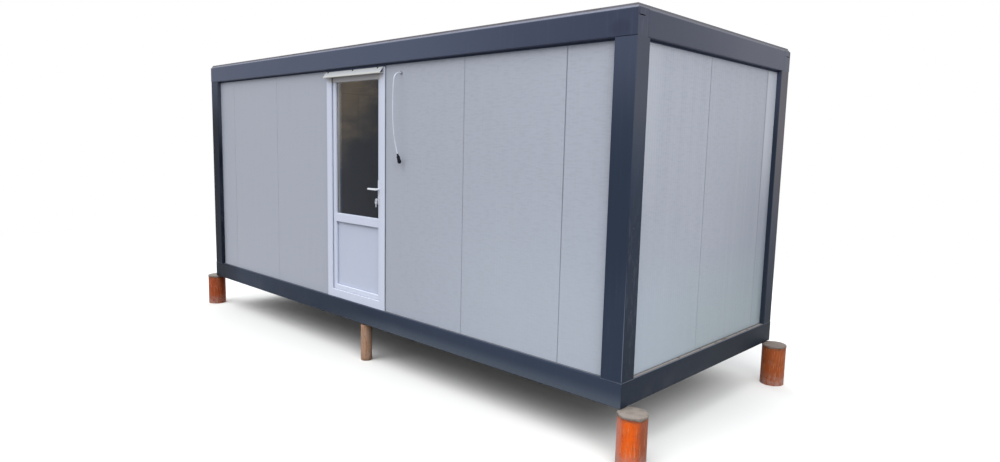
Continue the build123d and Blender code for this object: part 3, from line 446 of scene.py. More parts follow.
def roof_zinc(name, trim):
    """Galvanised sheet: spangle and dull bloom; on the trim a darker upper step with dirt on it
    and painted shade on the short sides; on the sheet, dirt along the ribs.
    """
    f = Finish(name, (150, 154, 172), 0.45, metallic=0.5)
    f.tint((126, 131, 146), f.cells(0.018), 0.3)
    f.tint((134, 135, 142), f.patches(0.4, 0.7, 0.5, 4, shift=3), 0.4)
    silt = f.patches(0.46, 0.66, 0.12, 5, shift=6)
    if trim:
        step_up = f.step(f.z, ROOF_Z + 0.0095, ROOF_Z + 0.0125)
        f.tint((109, 106, 113), step_up, 0.85)
        f.tint((92, 84, 80), step_up, silt, 0.4)
        # Painted shade on the trim's short sides
        f.tint((108, 108, 116), f.sideways(0), 0.85)
        f.wear(0.7, step_up)
    else:
        f.tint((124, 124, 130), f.patches(0.5, 0.75, 0.03, 4, (1, 14, 1), shift=9), 0.3)
        ends = f.step(f.calc("ABSOLUTE", f.y), REAR_Y - 0.45, REAR_Y - 0.05)
        f.tint((108, 104, 104), ends, silt, 0.5)
        f.wear(0.6, silt)
    f.bump(f.waves(0.3, 2, shift=2), 0.002, 0.3)
    return f.done()


def floor_board():
    """Grey-brown floor covering, scuffed where people walk."""
    f = Finish("floor_board", (122, 112, 100), 0.55)
    f.tint((98, 90, 80), f.patches(0.4, 0.7, 0.6, 5, shift=2), 0.6)
    f.tint((142, 134, 122), f.patches(0.5, 0.7, 0.004, 2), 0.35)
    f.bump(f.waves(0.004, 3), 0.0003, 0.5)
    return f.done()


def door_plastic():
    """White extruded plastic: mitre lines, drawing lines, marks round the handle, painted shade
    below the rain strip.
    """
    f = Finish("door_plastic", (204, 210, 227), 0.3, specular=0.4)
    f.tint((197, 203, 220), f.patches(0.42, 0.75, 0.5, 4, shift=5), 0.25)
    f.tint((184, 188, 198), f.patches(0.58, 0.8, 0.02, 4, (1, 1, 16), shift=3), 0.1)
    middle_x = (JAMB_LOW.x + JAMB_HIGH.x) / 2
    middle_z = (JAMB_LOW.z + JAMB_HIGH.z) / 2
    from_side = f.calc("SUBTRACT", JAMB_HIGH.x - middle_x, f.away(f.x, middle_x))
    from_end = f.calc("SUBTRACT", JAMB_HIGH.z - middle_z, f.away(f.z, middle_z))
    mitre = f.near(f.calc("SUBTRACT", from_side, from_end), 0.0, 0.0004, 0.0006)
    corner = f.step(from_side, 0.126, 0.122)
    f.tint((150, 154, 166), mitre, corner, 0.4)
    hand_x = f.calc("SUBTRACT", f.x, LOCK_X)
    hand_z = f.calc("SUBTRACT", f.z, LEVERS_LOW.z - 0.03)
    spread = f.calc("SQRT", f.calc("ADD", f.times(hand_x, hand_x), f.times(hand_z, hand_z, 0.3)))
    marks = f.patches(0.4, 0.65, 0.02, 4, shift=7)
    f.tint((160, 158, 158), f.step(spread, 0.16, 0.03), marks, 0.18)
    # Painted shade below the rain strip: the head of the frame darker and warmer, and a warm band
    # across the sash's top rail
    inner = f.step(from_side, 0.03, 0.05)
    head = f.times(f.step(f.z, JAMB_HIGH.z - 0.075, JAMB_HIGH.z - 0.055), inner)
    f.tint((146, 137, 127), head, 0.75)
    f.tint((110, 104, 98), f.step(f.z, JAMB_HIGH.z - 0.06, JAMB_HIGH.z - 0.03), head, 0.5)
    f.tint((200, 192, 184), f.near(f.z, JAMB_HIGH.z - 0.1, 0.022, 0.006), inner, 0.6)
    f.wear(0.38, f.patches(0.4, 0.7, 0.2, 3, shift=4))
    f.bump(f.waves(0.0012, 1, (1, 1, 40)), 0.00006, 0.4)
    f.bump(f.times(mitre, corner), 0.0002, -0.6)
    return f.done()


def lower_filling():
    """The solid lower panel, a touch greyer than the sash round it."""
    f = Finish("door_filling", (186, 193, 212), 0.32, specular=0.4)
    f.tint((180, 188, 207), f.patches(0.4, 0.75, 0.4, 4, shift=5), 0.35)
    f.tint((172, 174, 182), f.patches(0.58, 0.8, 0.02, 4, (1, 1, 14), shift=3), 0.12)
    f.bump(f.waves(0.2, 2, shift=6), 0.003, 0.3)
    return f.done()


def glass():
    """Clear glass: a painted brownish reflection above, deeper grey below, a little dust near its
    edges.
    """
    f = Finish("glass", (128, 144, 170), 0.02, specular=0.35)
    f.shader.inputs["Transmission Weight"].default_value = 1.0
    f.shader.inputs["IOR"].default_value = 1.235
    # Painted reflection: a soft brownish patch, highest towards the upper left
    aslant = f.calc("MULTIPLY_ADD", f.x, -0.7, f.z)
    painted_reflection = f.calc("MULTIPLY_ADD", f.waves(0.16, 3, (3, 1, 1), shift=2), 0.8, aslant)
    f.tint((250, 234, 212), f.step(painted_reflection, 2.25, 3.05), 0.95)
    f.tint((250, 250, 250), f.step(f.x, GLASS_LOW.x + 0.055, GLASS_LOW.x + 0.04))
    low_edge = f.step(f.z, GLASS_LOW.z + 0.06, GLASS_LOW.z + 0.01)
    f.tint((150, 146, 140), low_edge, f.patches(0.4, 0.7, 0.02, 4, shift=4), 0.3)
    f.bump(f.waves(0.5, 1, shift=1), 0.002, 0.15)
    return f.done()


def metal(name, colour, roughness, brushed=(1, 1, 12), metallic=1.0, grain=0.0006):
    """Brushed or drawn metal, its grain along one axis, with dull handling marks."""
    f = Finish(name, colour, roughness, metallic=metallic)
    dull = [c * 0.82 for c in colour]
    f.tint(dull, f.patches(0.4, 0.7, grain * 2, 3, brushed), 0.4)
    f.wear(min(roughness + 0.22, 0.9), f.patches(0.4, 0.7, 0.012, 4, shift=3))
    f.bump(f.waves(grain, 2, brushed, shift=5), 0.00005, 0.5)
    return f.done()


def plastic(name, colour, roughness, dirt, grain=0.0009, amount=0.3, specular=0.5):
    """Moulded plastic with a fine grain and dirt in broad patches."""
    f = Finish(name, colour, roughness, specular=specular)
    f.tint(dirt, f.patches(0.42, 0.72, 0.05, 4, shift=4), amount)
    f.wear(min(roughness + 0.15, 0.9), f.patches(0.4, 0.7, 0.02, 3, shift=2))
    f.bump(f.waves(grain, 2), 0.00006, 0.6)
    return f.done()


def drip_paint():
    """Cream painted sheet, darker in patches along the wall, its lip a little brighter as a
    painted highlight.
    """
    f = Finish("drip_paint", (170, 173, 176), 0.4, specular=0.35)
    low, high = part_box("drip_cap")
    f.tint((154, 158, 162), f.patches(0.45, 0.75, 0.03, 4, (3, 1, 1), shift=2), 0.3)
    # Painted highlight on the lip
    f.tint((216, 215, 206), f.step(f.z, low.z + 0.016, low.z + 0.006), 0.7)
    f.tint((192, 195, 196), f.step(f.z, high.z - 0.02, high.z - 0.008), 0.7)
    back = f.step(f.y, high.y - 0.006, high.y - 0.001)
    f.tint((132, 130, 126), back, f.patches(0.4, 0.7, 0.02, 4, shift=5), 0.5)
    f.wear(0.5, f.patches(0.4, 0.7, 0.1, 3, shift=6))
    f.bump(f.waves(0.002, 2), 0.0001, 0.5)
    return f.done()


def pipe_plastic():
    """Orange pipe: cement haze and vertical scrapes, dark spots, a paler foot; painted light and
    shade by place, a painted shadow below the concrete.
    """
    f = Finish("pipe_plastic", (214, 90, 22), 0.5, specular=0.2)
    f.tint((180, 74, 28), f.patches(0.4, 0.66, 0.07, 4, shift=2), 0.6)
    # Painted shade: the right rear pile and the left piles darker
    f.tint((132, 74, 42), f.step(f.x, 1.0, 2.0), f.step(f.y, -0.5, 0.5), 0.75)
    f.tint((122, 56, 34), f.step(f.x, -1.0, -2.0), 0.7)
    # Painted light and shade on the near pile: a bright core, painted shade on one side, a pale
    # painted sheen at the other edge
    near_x = f.calc("MULTIPLY", f.calc("SUBTRACT", f.x, NEAR_PILE.x), 0.72)
    shade_axis = f.calc("MULTIPLY_ADD", f.calc("SUBTRACT", f.y, NEAR_PILE.y), 0.69, near_x)
    near_one = f.times(f.step(f.x, 1.0, 2.0), f.step(f.y, 0.5, -0.5))
    f.tint((236, 98, 12), near_one, f.near(shade_axis, -0.045, 0.014, 0.025), 0.5)
    f.tint((122, 72, 54), near_one, f.step(shade_axis, -0.005, 0.05), 0.8)
    f.tint((190, 140, 132), near_one, f.step(shade_axis, -0.07, -0.098), 0.55)
    scrapes = f.waves(0.006, 4, (1, 1, 14), shift=4)
    f.tint((214, 146, 104), f.step(scrapes, 0.5, 0.68), 0.5)
    haze = f.patches(0.54, 0.7, 0.09, 4, (1, 1, 2.2), shift=12, rough=0.6)
    f.tint((160, 112, 96), haze, 0.4)
    # Darker near the top, and a painted shadow just below the concrete
    rim = f.step(f.z, BASE_Z - 0.06, BASE_Z - 0.014)
    f.tint((120, 78, 58), rim, f.patches(0.4, 0.6, 0.02, 4, shift=7), 0.6)
    crust_shadow = f.step(f.z, BASE_Z - 0.045, BASE_Z - 0.02)
    f.tint((86, 62, 50), crust_shadow, f.patches(0.35, 0.55, 0.03, 4, shift=17), 0.7)
    f.tint((92, 66, 52), f.patches(0.62, 0.7, 0.01, 4, shift=9), 0.75)
    foot = f.step(f.z, 0.14, 0.0)
    f.tint((168, 138, 130), foot, f.patches(0.3, 0.6, 0.04, 5, shift=3), 0.75)
    f.wear(0.8, f.step(scrapes, 0.45, 0.62))
    f.wear(0.85, haze)
    f.bump(f.step(scrapes, 0.5, 0.68), 0.0007, 0.7)
    f.bump(f.times(haze, f.waves(0.01, 4)), 0.0015, 0.6)
    return f.done()


def concrete():
    """Rough grey-beige concrete with sand grains, pores and darker damp patches, and painted shade
    on the rear piles.
    """
    f = Finish("concrete", (134, 126, 119), 0.88, specular=0.2)
    f.tint((110, 102, 96), f.patches(0.4, 0.66, 0.05, 5, shift=2, rough=0.6), 0.65)
    f.tint((154, 146, 138), f.patches(0.5, 0.64, 0.005, 3, shift=5), 0.5)
    # Painted shade: the rear piles' concrete darker
    f.tint((108, 92, 86), f.step(f.y, -0.5, 0.5), 0.4)
    pores = f.waves(0.007, 3, shift=8)
    f.tint((84, 74, 68), f.step(pores, 0.66, 0.74), 0.8)
    f.bump(f.waves(0.004, 4, rough=0.65), 0.0014, 0.9)
    f.bump(f.step(pores, 0.6, 0.74), 0.0016, -0.8)
    return f.done()


def post_timber():
    """Weathered round timber: grain along the post, cracks and a stained foot."""
    f = Finish("post_timber", (182, 144, 119), 0.8, specular=0.2)
    grain = f.waves(0.006, 4, (1, 1, 16), shift=3, rough=0.6)
    f.tint((160, 124, 102), f.step(grain, 0.4, 0.65), 0.55)
    f.tint((172, 150, 134), f.patches(0.42, 0.7, 0.08, 4, (1, 1, 2), shift=6), 0.5)
    crack = f.near(f.waves(0.012, 3, (1, 1, 18), shift=9), 0.5, 0.006, 0.012)
    f.tint((74, 54, 44), crack, 0.85)
    f.tint((104, 84, 68), f.step(f.z, 0.1, 0.0), f.patches(0.3, 0.6, 0.04, 4), 0.5)
    f.bump(grain, 0.0008, 0.7)
    f.bump(crack, 0.002, -0.8)
    return f.done()


coat(beam_paint(), "top_front_beam", "top_rear_beam", "top_left_beam", "top_right_beam")
posts_and_base = post_paint()
coat(posts_and_base, "base_front_beam", "base_rear_beam", "base_left_beam", "base_right_beam",
     "corner_posts", "floor_joists", "roof_joists")
coat(plastic("head_strip", (64, 72, 94), 0.6, (54, 60, 76), specular=0.1), "wall_head_channels")
coat(panel_skin(), "front_wall_left", "front_wall_right", "rear_wall", "left_wall",
     "right_wall", "ceiling_panels")
coat(roof_zinc("roof_zinc", False), "roof_sheet")
coat(roof_zinc("roof_trim", True), "roof_edge_trim")
coat(floor_board(), "floor_deck")
coat(door_plastic(), "door_frame_hinge_jamb", "door_frame_latch_jamb", "door_frame_head",
     "door_frame_sill", "door_leaf", "glazing_beads", "frame_hinges", "leaf_hinges")
coat(lower_filling(), "door_lower_panel")
coat(glass(), "door_glass")
coat(metal("spacer_metal", (226, 228, 232), 0.5, metallic=0.1), "glass_spacer")
coat(plastic("plate_paint", (208, 213, 226), 0.28, (188, 190, 196), 0.0015), "handle_plates")
coat(plastic("lever_paint", (230, 233, 240), 0.24, (204, 204, 206), 0.0015), "handle_levers")
steel = metal("lock_metal", (218, 220, 224), 0.3, (1, 12, 1))
coat(steel, "lock_cylinder", "lock_plate")
coat(metal("key_metal", (226, 228, 232), 0.3, (1, 12, 1), 0.4), "keys")
coat(drip_paint(), "drip_cap")
sheath = plastic("cable_sheath", (202, 207, 220), 0.45, (180, 182, 188))
coat(pipe_plastic(), "pile_pipes")


def piece(name, points, faces, material, body, smooth=True, bevel=0.0):
    """A mesh in the row frame that rides on a body."""
    mesh = bpy.data.meshes.new(name)
    mesh.from_pydata([tuple(p) for p in points], [], faces)
    work = bmesh.new()
    work.from_mesh(mesh)
    if bevel:
        edges = [e for e in work.edges if e.calc_face_angle(0.0) > math.radians(35)]
        bmesh.ops.bevel(work, geom=edges, offset=bevel, segments=2, affect="EDGES",
                        clamp_overlap=True)
    bmesh.ops.recalc_face_normals(work, faces=work.faces)
    work.to_mesh(mesh)
    work.free()
    mesh.materials.append(material)
    obj = bpy.data.objects.new(name, mesh)
    scene.collection.objects.link(obj)
    for polygon in mesh.polygons:
        polygon.use_smooth = smooth
    if smooth:
        mesh.set_sharp_from_angle(angle=math.radians(40))
    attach(obj, body)
    return obj


def tube(rings):
    """Points and faces of rings joined one after the other, closed at both ends."""
    count = len(rings[0])
    points = [p for ring in rings for p in ring]
    faces = []
    for i in range(len(rings) - 1):
        for j in range(count):
            k = (j + 1) % count
            a, b = i * count, (i + 1) * count
            faces.append((a + j, a + k, b + k, b + j))
    faces.append(tuple(reversed(range(count))))
    last = (len(rings) - 1) * count
    faces.append(tuple(range(last, last + count)))
    return points, faces


class Heap:
    """Several closed shapes gathered in one mesh."""

    def __init__(self):
        self.points = []
        self.faces = []

    def add(self, points, faces):
        start = len(self.points)
        self.points += [Vector(p) for p in points]
        self.faces += [tuple(i + start for i in face) for face in faces]

    def piece(self, name, material, body, slot, smooth=True, bevel=0.0):
        return piece(name, self.points, self.faces, material, body, smooth, bevel)


def solids(name):
    """The lowest and highest corner of each separate solid in a node, in order."""
    work = bmesh.new()
    work.from_mesh(nodes[name].data)
    bmesh.ops.remove_doubles(work, verts=work.verts, dist=1e-5)
    work.verts.ensure_lookup_table()
    seen = set()
    boxes = []
    for start in work.verts:
        if start.index in seen:
            continue
        seen.add(start.index)
        stack, group = [start], []
        while stack:
            vertex = stack.pop()
            group.append(vertex.co.copy())
            for edge in vertex.link_edges:
                other = edge.other_vert(vertex)
                if other.index not in seen:
                    seen.add(other.index)
                    stack.append(other)
        low = Vector([min(p[i] for p in group) for i in range(3)])
        high = Vector([max(p[i] for p in group) for i in range(3)])
        boxes.append((low, high))
    work.free()
    return sorted(boxes, key=lambda box: tuple(round(c, 5) for c in (*box[0], *box[1])))


def plate(us, vs, holes, place):
    """A plate over a grid of edges, some cells left open; place takes u, v and depth 0 or 1."""
    solid = {(i, j) for i in range(len(us) - 1) for j in range(len(vs) - 1)} - set(holes)
    index = {}
    points = []
    faces = []

    def corner(i, j, k):
        if (i, j, k) not in index:
            index[i, j, k] = len(points)
            points.append(place(us[i], vs[j], k))
        return index[i, j, k]

    for i, j in sorted(solid):
        ring = [(i, j), (i + 1, j), (i + 1, j + 1), (i, j + 1)]
        faces.append(tuple(corner(*c, 0) for c in reversed(ring)))
        faces.append(tuple(corner(*c, 1) for c in ring))
        beside = [(i, j - 1), (i + 1, j), (i, j + 1), (i - 1, j)]
        for side, other in enumerate(beside):
            if other not in solid:
                a, b = ring[side], ring[(side + 1) % 4]
                faces.append((corner(*a, 0), corner(*b, 0), corner(*b, 1), corner(*a, 1)))
    return points, faces


def ring_plate(low_u, high_u, low_v, high_v, width, place):
    """A flat rectangular ring, its outer edge given."""
    us = [low_u, low_u + width, high_u - width, high_u]
    vs = [low_v, low_v + width, high_v - width, high_v]
    return plate(us, vs, [(1, 1)], place)


def ring_round(centre, side, other, radii):
    """Points round a centre, one for each radius, in the plane of side and other."""
    ring = []
    for i, radius in enumerate(radii):
        angle = 2 * math.pi * i / len(radii)
        ring.append(centre + (side * math.cos(angle) + other * math.sin(angle)) * radius)
    return ring


def across(out):
    """The unit vector along out and two more at right angles to it."""
    out = Vector(out).normalized()
    side = out.orthogonal().normalized()
    return out, side, out.cross(side)


def turned(place, out, stations, sides):
    """A turned shape: each station is a height along its axis and a radius."""
    out, side, other = across(out)
    return tube([ring_round(Vector(place) + out * height, side, other, [radius] * sides)
                 for height, radius in stations])


def pan_screw(heap, place, out, radius):
    """A domed screw head with a cross recess."""
    sides = 24
    stations = [(-0.001, radius), (radius * 0.15, radius), (radius * 0.42, radius * 0.9),
                (radius * 0.56, radius * 0.66), (radius * 0.58, radius * 0.5)]
    points, faces = turned(place, out, stations, sides)
    heap.add(points, faces[:-1])
    # The recess: the rim steps in to a cross and down to its floor
    out, side, other = across(out)
    rim = [radius * 0.5] * sides
    cross = [radius * (0.14 + 0.3 * max(0.0, math.cos(4 * (2 * math.pi * i / sides))) ** 2)
             for i in range(sides)]
    points, faces = tube([ring_round(Vector(place) + out * radius * height, side, other, radii)
                          for height, radii in ((0.58, rim), (0.58, cross), (0.26, cross))])
    del faces[-2]
    heap.add(points, faces)


def hex_screw(heap, place, out, radius):
    """A hexagonal roofing screw on its washer."""
    washer = [(-0.0005, radius * 1.75), (0.0008, radius * 1.75), (0.0016, radius * 1.2)]
    heap.add(*turned(place, out, washer, 18))
    head = [(0.001, radius), (0.0052, radius), (0.0062, radius * 0.82)]
    heap.add(*turned(place, out, head, 6))


# The cable: the route's points from the grommet's mouth, as sideways, out and up
CABLE_EXIT = Vector((0.650, -1.1485, 2.646))
CABLE_DIAMETER = 0.010
CABLE_STEPS = [
    (0, 0, 0), (0, -29, 0), (1, -56, -14), (1, -73, -41), (-1, -78, -81), (-4, -80, -142),
    (-8, -79, -240), (-10, -78, -350), (-9, -74, -452), (-7, -64, -545), (-2, -52, -622),
    (12, -43, -684),
]
cable_points = [CABLE_EXIT + Vector(s) / 1000 for s in CABLE_STEPS]
cable_curve = bpy.data.curves.new("hanging_cable", "CURVE")
cable_curve.dimensions = "3D"
cable_curve.bevel_depth = CABLE_DIAMETER / 2
cable_curve.bevel_resolution = 6
cable_curve.resolution_u = 16
cable_curve.use_fill_caps = True
spline = cable_curve.splines.new("NURBS")
spline.points.add(len(cable_points) - 1)
for point, place in zip(spline.points, cable_points):
    point.co = (*place, 1.0)
spline.order_u = 3
spline.use_endpoint_u = True
cable_curve.materials.append(sheath)
cable = bpy.data.objects.new("hanging_cable", cable_curve)
scene.collection.objects.link(cable)
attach(cable, CABIN)
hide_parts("cable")


def make_connector():
    """Ringed strain relief, a grip that widens to its collar, and a socket nose."""
    axis = (cable_points[-1] - cable_points[-2]).normalized()
    side = axis.cross(Vector((0, 1, 0))).normalized()
    other = axis.cross(side)
    sides, flutes = 48, 12
    flute = [0.5 + 0.5 * math.cos(2 * math.pi * i / sides * flutes) for i in range(sides)]
    # Each station: how far along, the radius, and the depth of its flutes
    stations = [(0.0, 0.0062, 0)]
    for i in range(4):
        start = 0.0012 + i * 0.0044
        outer = 0.0074 + i * 0.0006
        stations += [(start, outer, 0), (start + 0.0026, outer + 0.0003, 0)]
        stations += [(start + 0.003, outer - 0.001, 0), (start + 0.0042, outer - 0.0008, 0)]
    stations += [
        (0.0194, 0.0104, 0), (0.0222, 0.0126, 0), (0.025, 0.0136, 0), (0.028, 0.014, 0.0009),
        (0.043, 0.0148, 0.0011), (0.0565, 0.0154, 0.0009), (0.0585, 0.0152, 0),
        (0.0596, 0.0166, 0), (0.0746, 0.017, 0), (0.0758, 0.0164, 0), (0.0772, 0.0156, 0),
        (0.0778, 0.0128, 0), (0.085, 0.0125, 0), (0.0858, 0.0116, 0), (0.0858, 0.0098, 0),
        (0.079, 0.0094, 0),
    ]
    points, faces = tube([
        ring_round(cable_points[-1] + axis * along, side, other,
                   [radius - depth * share for share in flute])
        for along, radius, depth in stations
    ])
    return piece("cable_plug", points, faces, plug_black, CABIN)


coat(plastic("grommet_rubber", (128, 132, 142), 0.55, (96, 98, 104)), "cable_grommet")
plug_black = plastic("connector_plastic", (14, 17, 27), 0.55, (24, 26, 34), specular=0.12)
connector = make_connector()
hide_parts("cable_connector")


def make_pile_concrete():
    """The pipes' filling: a rough top that runs over the rim and down the outside."""
    heap = Heap()
    rim_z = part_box("pile_pipes")[1].z + 0.0006
    sides = 120
    pipes = solids("pile_pipes")
    for number, (low, high) in enumerate(solids("pile_cores")):
        middle = (low + high) / 2
        core = (high.x - low.x) / 2 - 0.0012
        outside = (pipes[number][1].x - pipes[number][0].x) / 2 + 0.0003
        rings = [[] for _ in range(12)]
        for i in range(sides):
            angle = 2 * math.pi * i / sides
            c, s = math.cos(angle), math.sin(angle)
            spot = Vector((c, s, number * 3.1))
            lump = noise.noise(spot * 3.2)
            grit = noise.noise(spot * 14.0)
            run = max(0.0, noise.noise(spot * 1.3 + Vector((2, 1, 2))) + 0.1)
            drop = 0.006 + 0.02 * run + 0.006 * (0.5 + noise.noise(spot * 5.0))
            thick = 0.0014 + 0.0016 * (0.5 + grit) + 0.001 * lump
            top = high.z - 0.0028 + 0.0018 * lump
            profile = [
                (core, low.z), (core, rim_z), (outside, rim_z), (outside, rim_z - drop),
                (outside + thick * 0.7, rim_z - drop + 0.0012),
                (outside + thick, rim_z - drop * 0.45 + 0.0012), (outside + thick, rim_z + 0.0016),
                (outside + thick - 0.002, rim_z + 0.0056), (core + 0.001 * grit, top),
            ]
            for r in (0.07, 0.04, 0.012):
                place = Vector((c * r, s * r, number * 0.7)) * 30
                rough_top = high.z - 0.0024 + 0.002 * noise.noise(place)
                profile.append((r, top * 0.3 + 0.7 * rough_top))
            for ring, (r, z) in zip(rings, profile):
                ring.append((middle.x + r * c, middle.y + r * s, z))
        heap.add(*tube(rings))
    filling = heap.piece("pile_concrete", concrete(), CABIN, "concrete")
    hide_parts("pile_cores")


def make_timber_posts():
    """Round posts, slightly bowed and out of round, with a drying split in each."""
    heap = Heap()
    sides = 96
    for number, (low, high) in enumerate(solids("middle_posts")):
        middle = (low + high) / 2
        radius = (high.x - low.x) / 2 - 0.0012
        rings = []
        heights = [0.0, 0.003] + [0.02 + 0.022 * i for i in range(15)] + [0.345, 0.348]
        for z in heights:
            end = 0.0016 if z in (heights[0], heights[-1]) else 0.0
            bow = 0.0026 * math.sin(math.pi * z / high.z)
            ring = []
            for i in range(sides):
                angle = 2 * math.pi * i / sides
                c, s = math.cos(angle), math.sin(angle)
                spot = Vector((c * 1.6, s * 1.6, z * 2.5 + number * 4.0))
                r = radius - end - 0.0014 * (0.5 + noise.noise(spot))
                r -= 0.0005 * (0.5 + noise.noise(Vector((c * 9, s * 9, z * 4 + number))))
                split = abs((i - 70 - 2 * math.sin(z * 9 + number)) / 1.3)
                if split < 1:
                    r -= 0.008 * (1 - split) * min(1.0, z / 0.12)
                ring.append((middle.x + r * c - bow, middle.y + r * s, min(z, high.z)))
            rings.append(ring)
        heap.add(*tube(rings))
    posts = heap.piece("timber_posts", post_timber(), CABIN, "post_timber")
    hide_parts("middle_posts")


make_pile_concrete()
make_timber_posts()
coat(plastic("shim_plastic", (214, 212, 204), 0.6, (150, 138, 122), amount=0.5), "post_shims")


# Seals of the door, its frame and its panes
gasket_black = plastic("gasket_rubber", (30, 31, 34), 0.6, (52, 52, 54), specular=0.25)
gasket_grey = plastic("gasket_grey", (140, 145, 158), 0.6, (116, 118, 126), specular=0.25)
# Dark grey silicone, which also paints the shade in the joint beside the door frame
silicone = plastic("silicone", (92, 95, 103), 0.4, (70, 72, 78), specular=0.3)


def make_gaskets():
    """Rubber behind the frame's lip and round each pane."""
    lip_back = JAMB_LOW.y + FRAME_LIP
    edge = FRAME_FACE - 0.0078
    heap = Heap()
    ring = (JAMB_LOW.x + edge, JAMB_HIGH.x - edge, JAMB_LOW.z + edge, JAMB_HIGH.z - edge)
    heap.add(*ring_plate(*ring, 0.008, lambda u, v, k: (u, lip_back - 0.0002 + 0.0046 * k, v)))
    heap.piece("frame_gasket", gasket_black, CABIN, "connector_plastic", False, 0.0008)
    panes = {"glass": (GLASS_LOW, GLASS_HIGH, gasket_black),
             "panel": (PANEL_LOW, PANEL_HIGH, gasket_grey)}
    for name, (low, high, rubber) in panes.items():
        heap = Heap()
        ring = (low.x + PANE_REBATE, high.x - PANE_REBATE, low.z + PANE_REBATE,
                high.z - PANE_REBATE)
        front = low.y - 0.0026
        heap.add(*ring_plate(*ring, 0.0026, lambda u, v, k: (u, front + 0.0025 * k, v)))
        heap.piece(name + "_gasket", rubber, DOOR, "connector_plastic", False, 0.0004)


def make_door_seal():
    """A bead of silicone in each corner between the frame and the wall, its dark grey also a
    painted shade in the joint.
    """
    heap = Heap()
    for side, corner_x in ((-1, JAMB_LOW.x), (1, JAMB_HIGH.x)):
        rings = []
        for i in range(111):
            z = SILL_Z + 0.001 + i * (BEAM_Z - SILL_Z - 0.002) / 110
            wide = 0.0075 + 0.0015 * noise.noise(Vector((z * 9, side, 0)))
            deep = 0.006 + 0.001 * noise.noise(Vector((z * 13, side, 4)))
            ring = [(corner_x - side * 0.0004, WALL_Y + 0.0006, z)]
            for j in range(7):
                angle = math.pi / 2 * j / 6
                hollow = 0.72 + 0.28 * abs(math.cos(2 * angle))
                x = corner_x + side * (wide * math.cos(angle) * hollow - 0.0004)
                ring.append((x, WALL_Y + 0.0006 - deep * math.sin(angle) * hollow, z))
            rings.append(ring)
        heap.add(*tube(rings))
    heap.piece("door_seal", silicone, CABIN, "cable_sheath")


def make_keep():
    """The keep on the latch jamb, open over its two pockets."""
    face = JAMB_HIGH.x - FRAME_BODY
    ys = [STRIP_Y + dy for dy in (-0.012, -0.007, 0.007, 0.012)]
    latch_z = (LEVERS_LOW.z + LEVERS_HIGH.z) / 2
    bolt_z = STRIP_LOW.z + STRIP_HIGH.z - latch_z
    zs = [STRIP_LOW.z, bolt_z - 0.021, bolt_z + 0.021, latch_z - 0.014, latch_z + 0.014,
          STRIP_HIGH.z]
    heap = Heap()
    heap.add(*plate(ys, zs, [(1, 1), (1, 3)], lambda u, v, k: (face + 0.0002 - 0.0016 * k, u, v)))
    heap.piece("keep_plate", steel, CABIN, "lock_metal", False, 0.0003)


def make_door_screws():
    """Screws of the lock plate, the leaf's hinge flaps and the handle plate inside."""
    heap = Heap()
    edge = LEAF_HIGH.x - LEAF_OVERLAP - 0.01
    for z in (STRIP_LOW.z + STRIP_INSET, STRIP_HIGH.z - STRIP_INSET):
        pan_screw(heap, (edge, STRIP_Y, z), (1, 0, 0), STRIP_SCREW)
    for low, high in solids("leaf_hinges"):
        for z in (low.z + FLAP_INSET, high.z - FLAP_INSET):
            pan_screw(heap, (high.x - 0.01, LEAF_HIGH.y + FLAP, z), (0, 1, 0), FLAP_SCREW)
    for low, high in solids("handle_plates"):
        if high.y > LEAF_HIGH.y + 0.001:
            for z in (low.z + STRIP_INSET, high.z - STRIP_INSET):
                pan_screw(heap, ((low.x + high.x) / 2, high.y, z), (0, 1, 0), STRIP_SCREW)
    heap.piece("door_screws", steel, DOOR, "lock_metal")


def make_frame_screws():
    """Screws of the frame's hinge flaps and of the keep."""
    heap = Heap()
    for low, high in solids("frame_hinges"):
        for z in (low.z + FLAP_INSET, low.z + 0.029):
            spot = (low.x + FLAP_INSET, JAMB_HIGH.y + FLAP, z)
            pan_screw(heap, spot, (0, 1, 0), FLAP_SCREW)
    face = JAMB_HIGH.x - FRAME_BODY - 0.0014
    for z in (STRIP_LOW.z + STRIP_INSET, STRIP_HIGH.z - STRIP_INSET):
        pan_screw(heap, (face, STRIP_Y, z), (-1, 0, 0), STRIP_SCREW)
    heap.piece("frame_screws", steel, CABIN, "lock_metal")


def make_drip_screws():
    """Dark screws along the top of the rain strip, square to its slope."""
    low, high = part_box("drip_cap")
    out = (0, -0.794, 0.608)
    dark = plastic("dark_screw", (28, 28, 32), 0.5, (52, 44, 38), specular=0.2)
    heap = Heap()
    for along in (0.045, 0.453, 0.836):
        pan_screw(heap, (low.x + along, high.y - 0.0095, high.z - 0.0075), out, DRIP_SCREW)
    heap.piece("drip_screws", dark, CABIN, "lock_metal")


def make_roof_screws():
    """Sealed screws on the roof sheet's ribs, over the beams and joists."""
    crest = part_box("roof_sheet")[1].z
    crest_x = sorted({round(v.co.x, 4) for v in nodes["roof_sheet"].data.vertices
                      if v.co.z > crest - 1e-4})
    ribs = [(a + b) / 2 for a, b in zip(crest_x[::2], crest_x[1::2])]
    heap = Heap()
    for number, x in enumerate(ribs):
        for row in range(4):
            y = FRONT_Y + 0.075 + row * (REAR_Y - FRONT_Y - 0.15) / 3
            slip = 0.002 * noise.noise(Vector((number * 1.7, row * 2.3, 1)))
            hex_screw(heap, (x + slip, y + slip, crest), (0, 0, 1), ROOF_SCREW)
    heap.piece("roof_screws", plastic("roof_screw", (150, 153, 160), 0.4, (112, 104, 98)),
               CABIN, "roof_zinc")


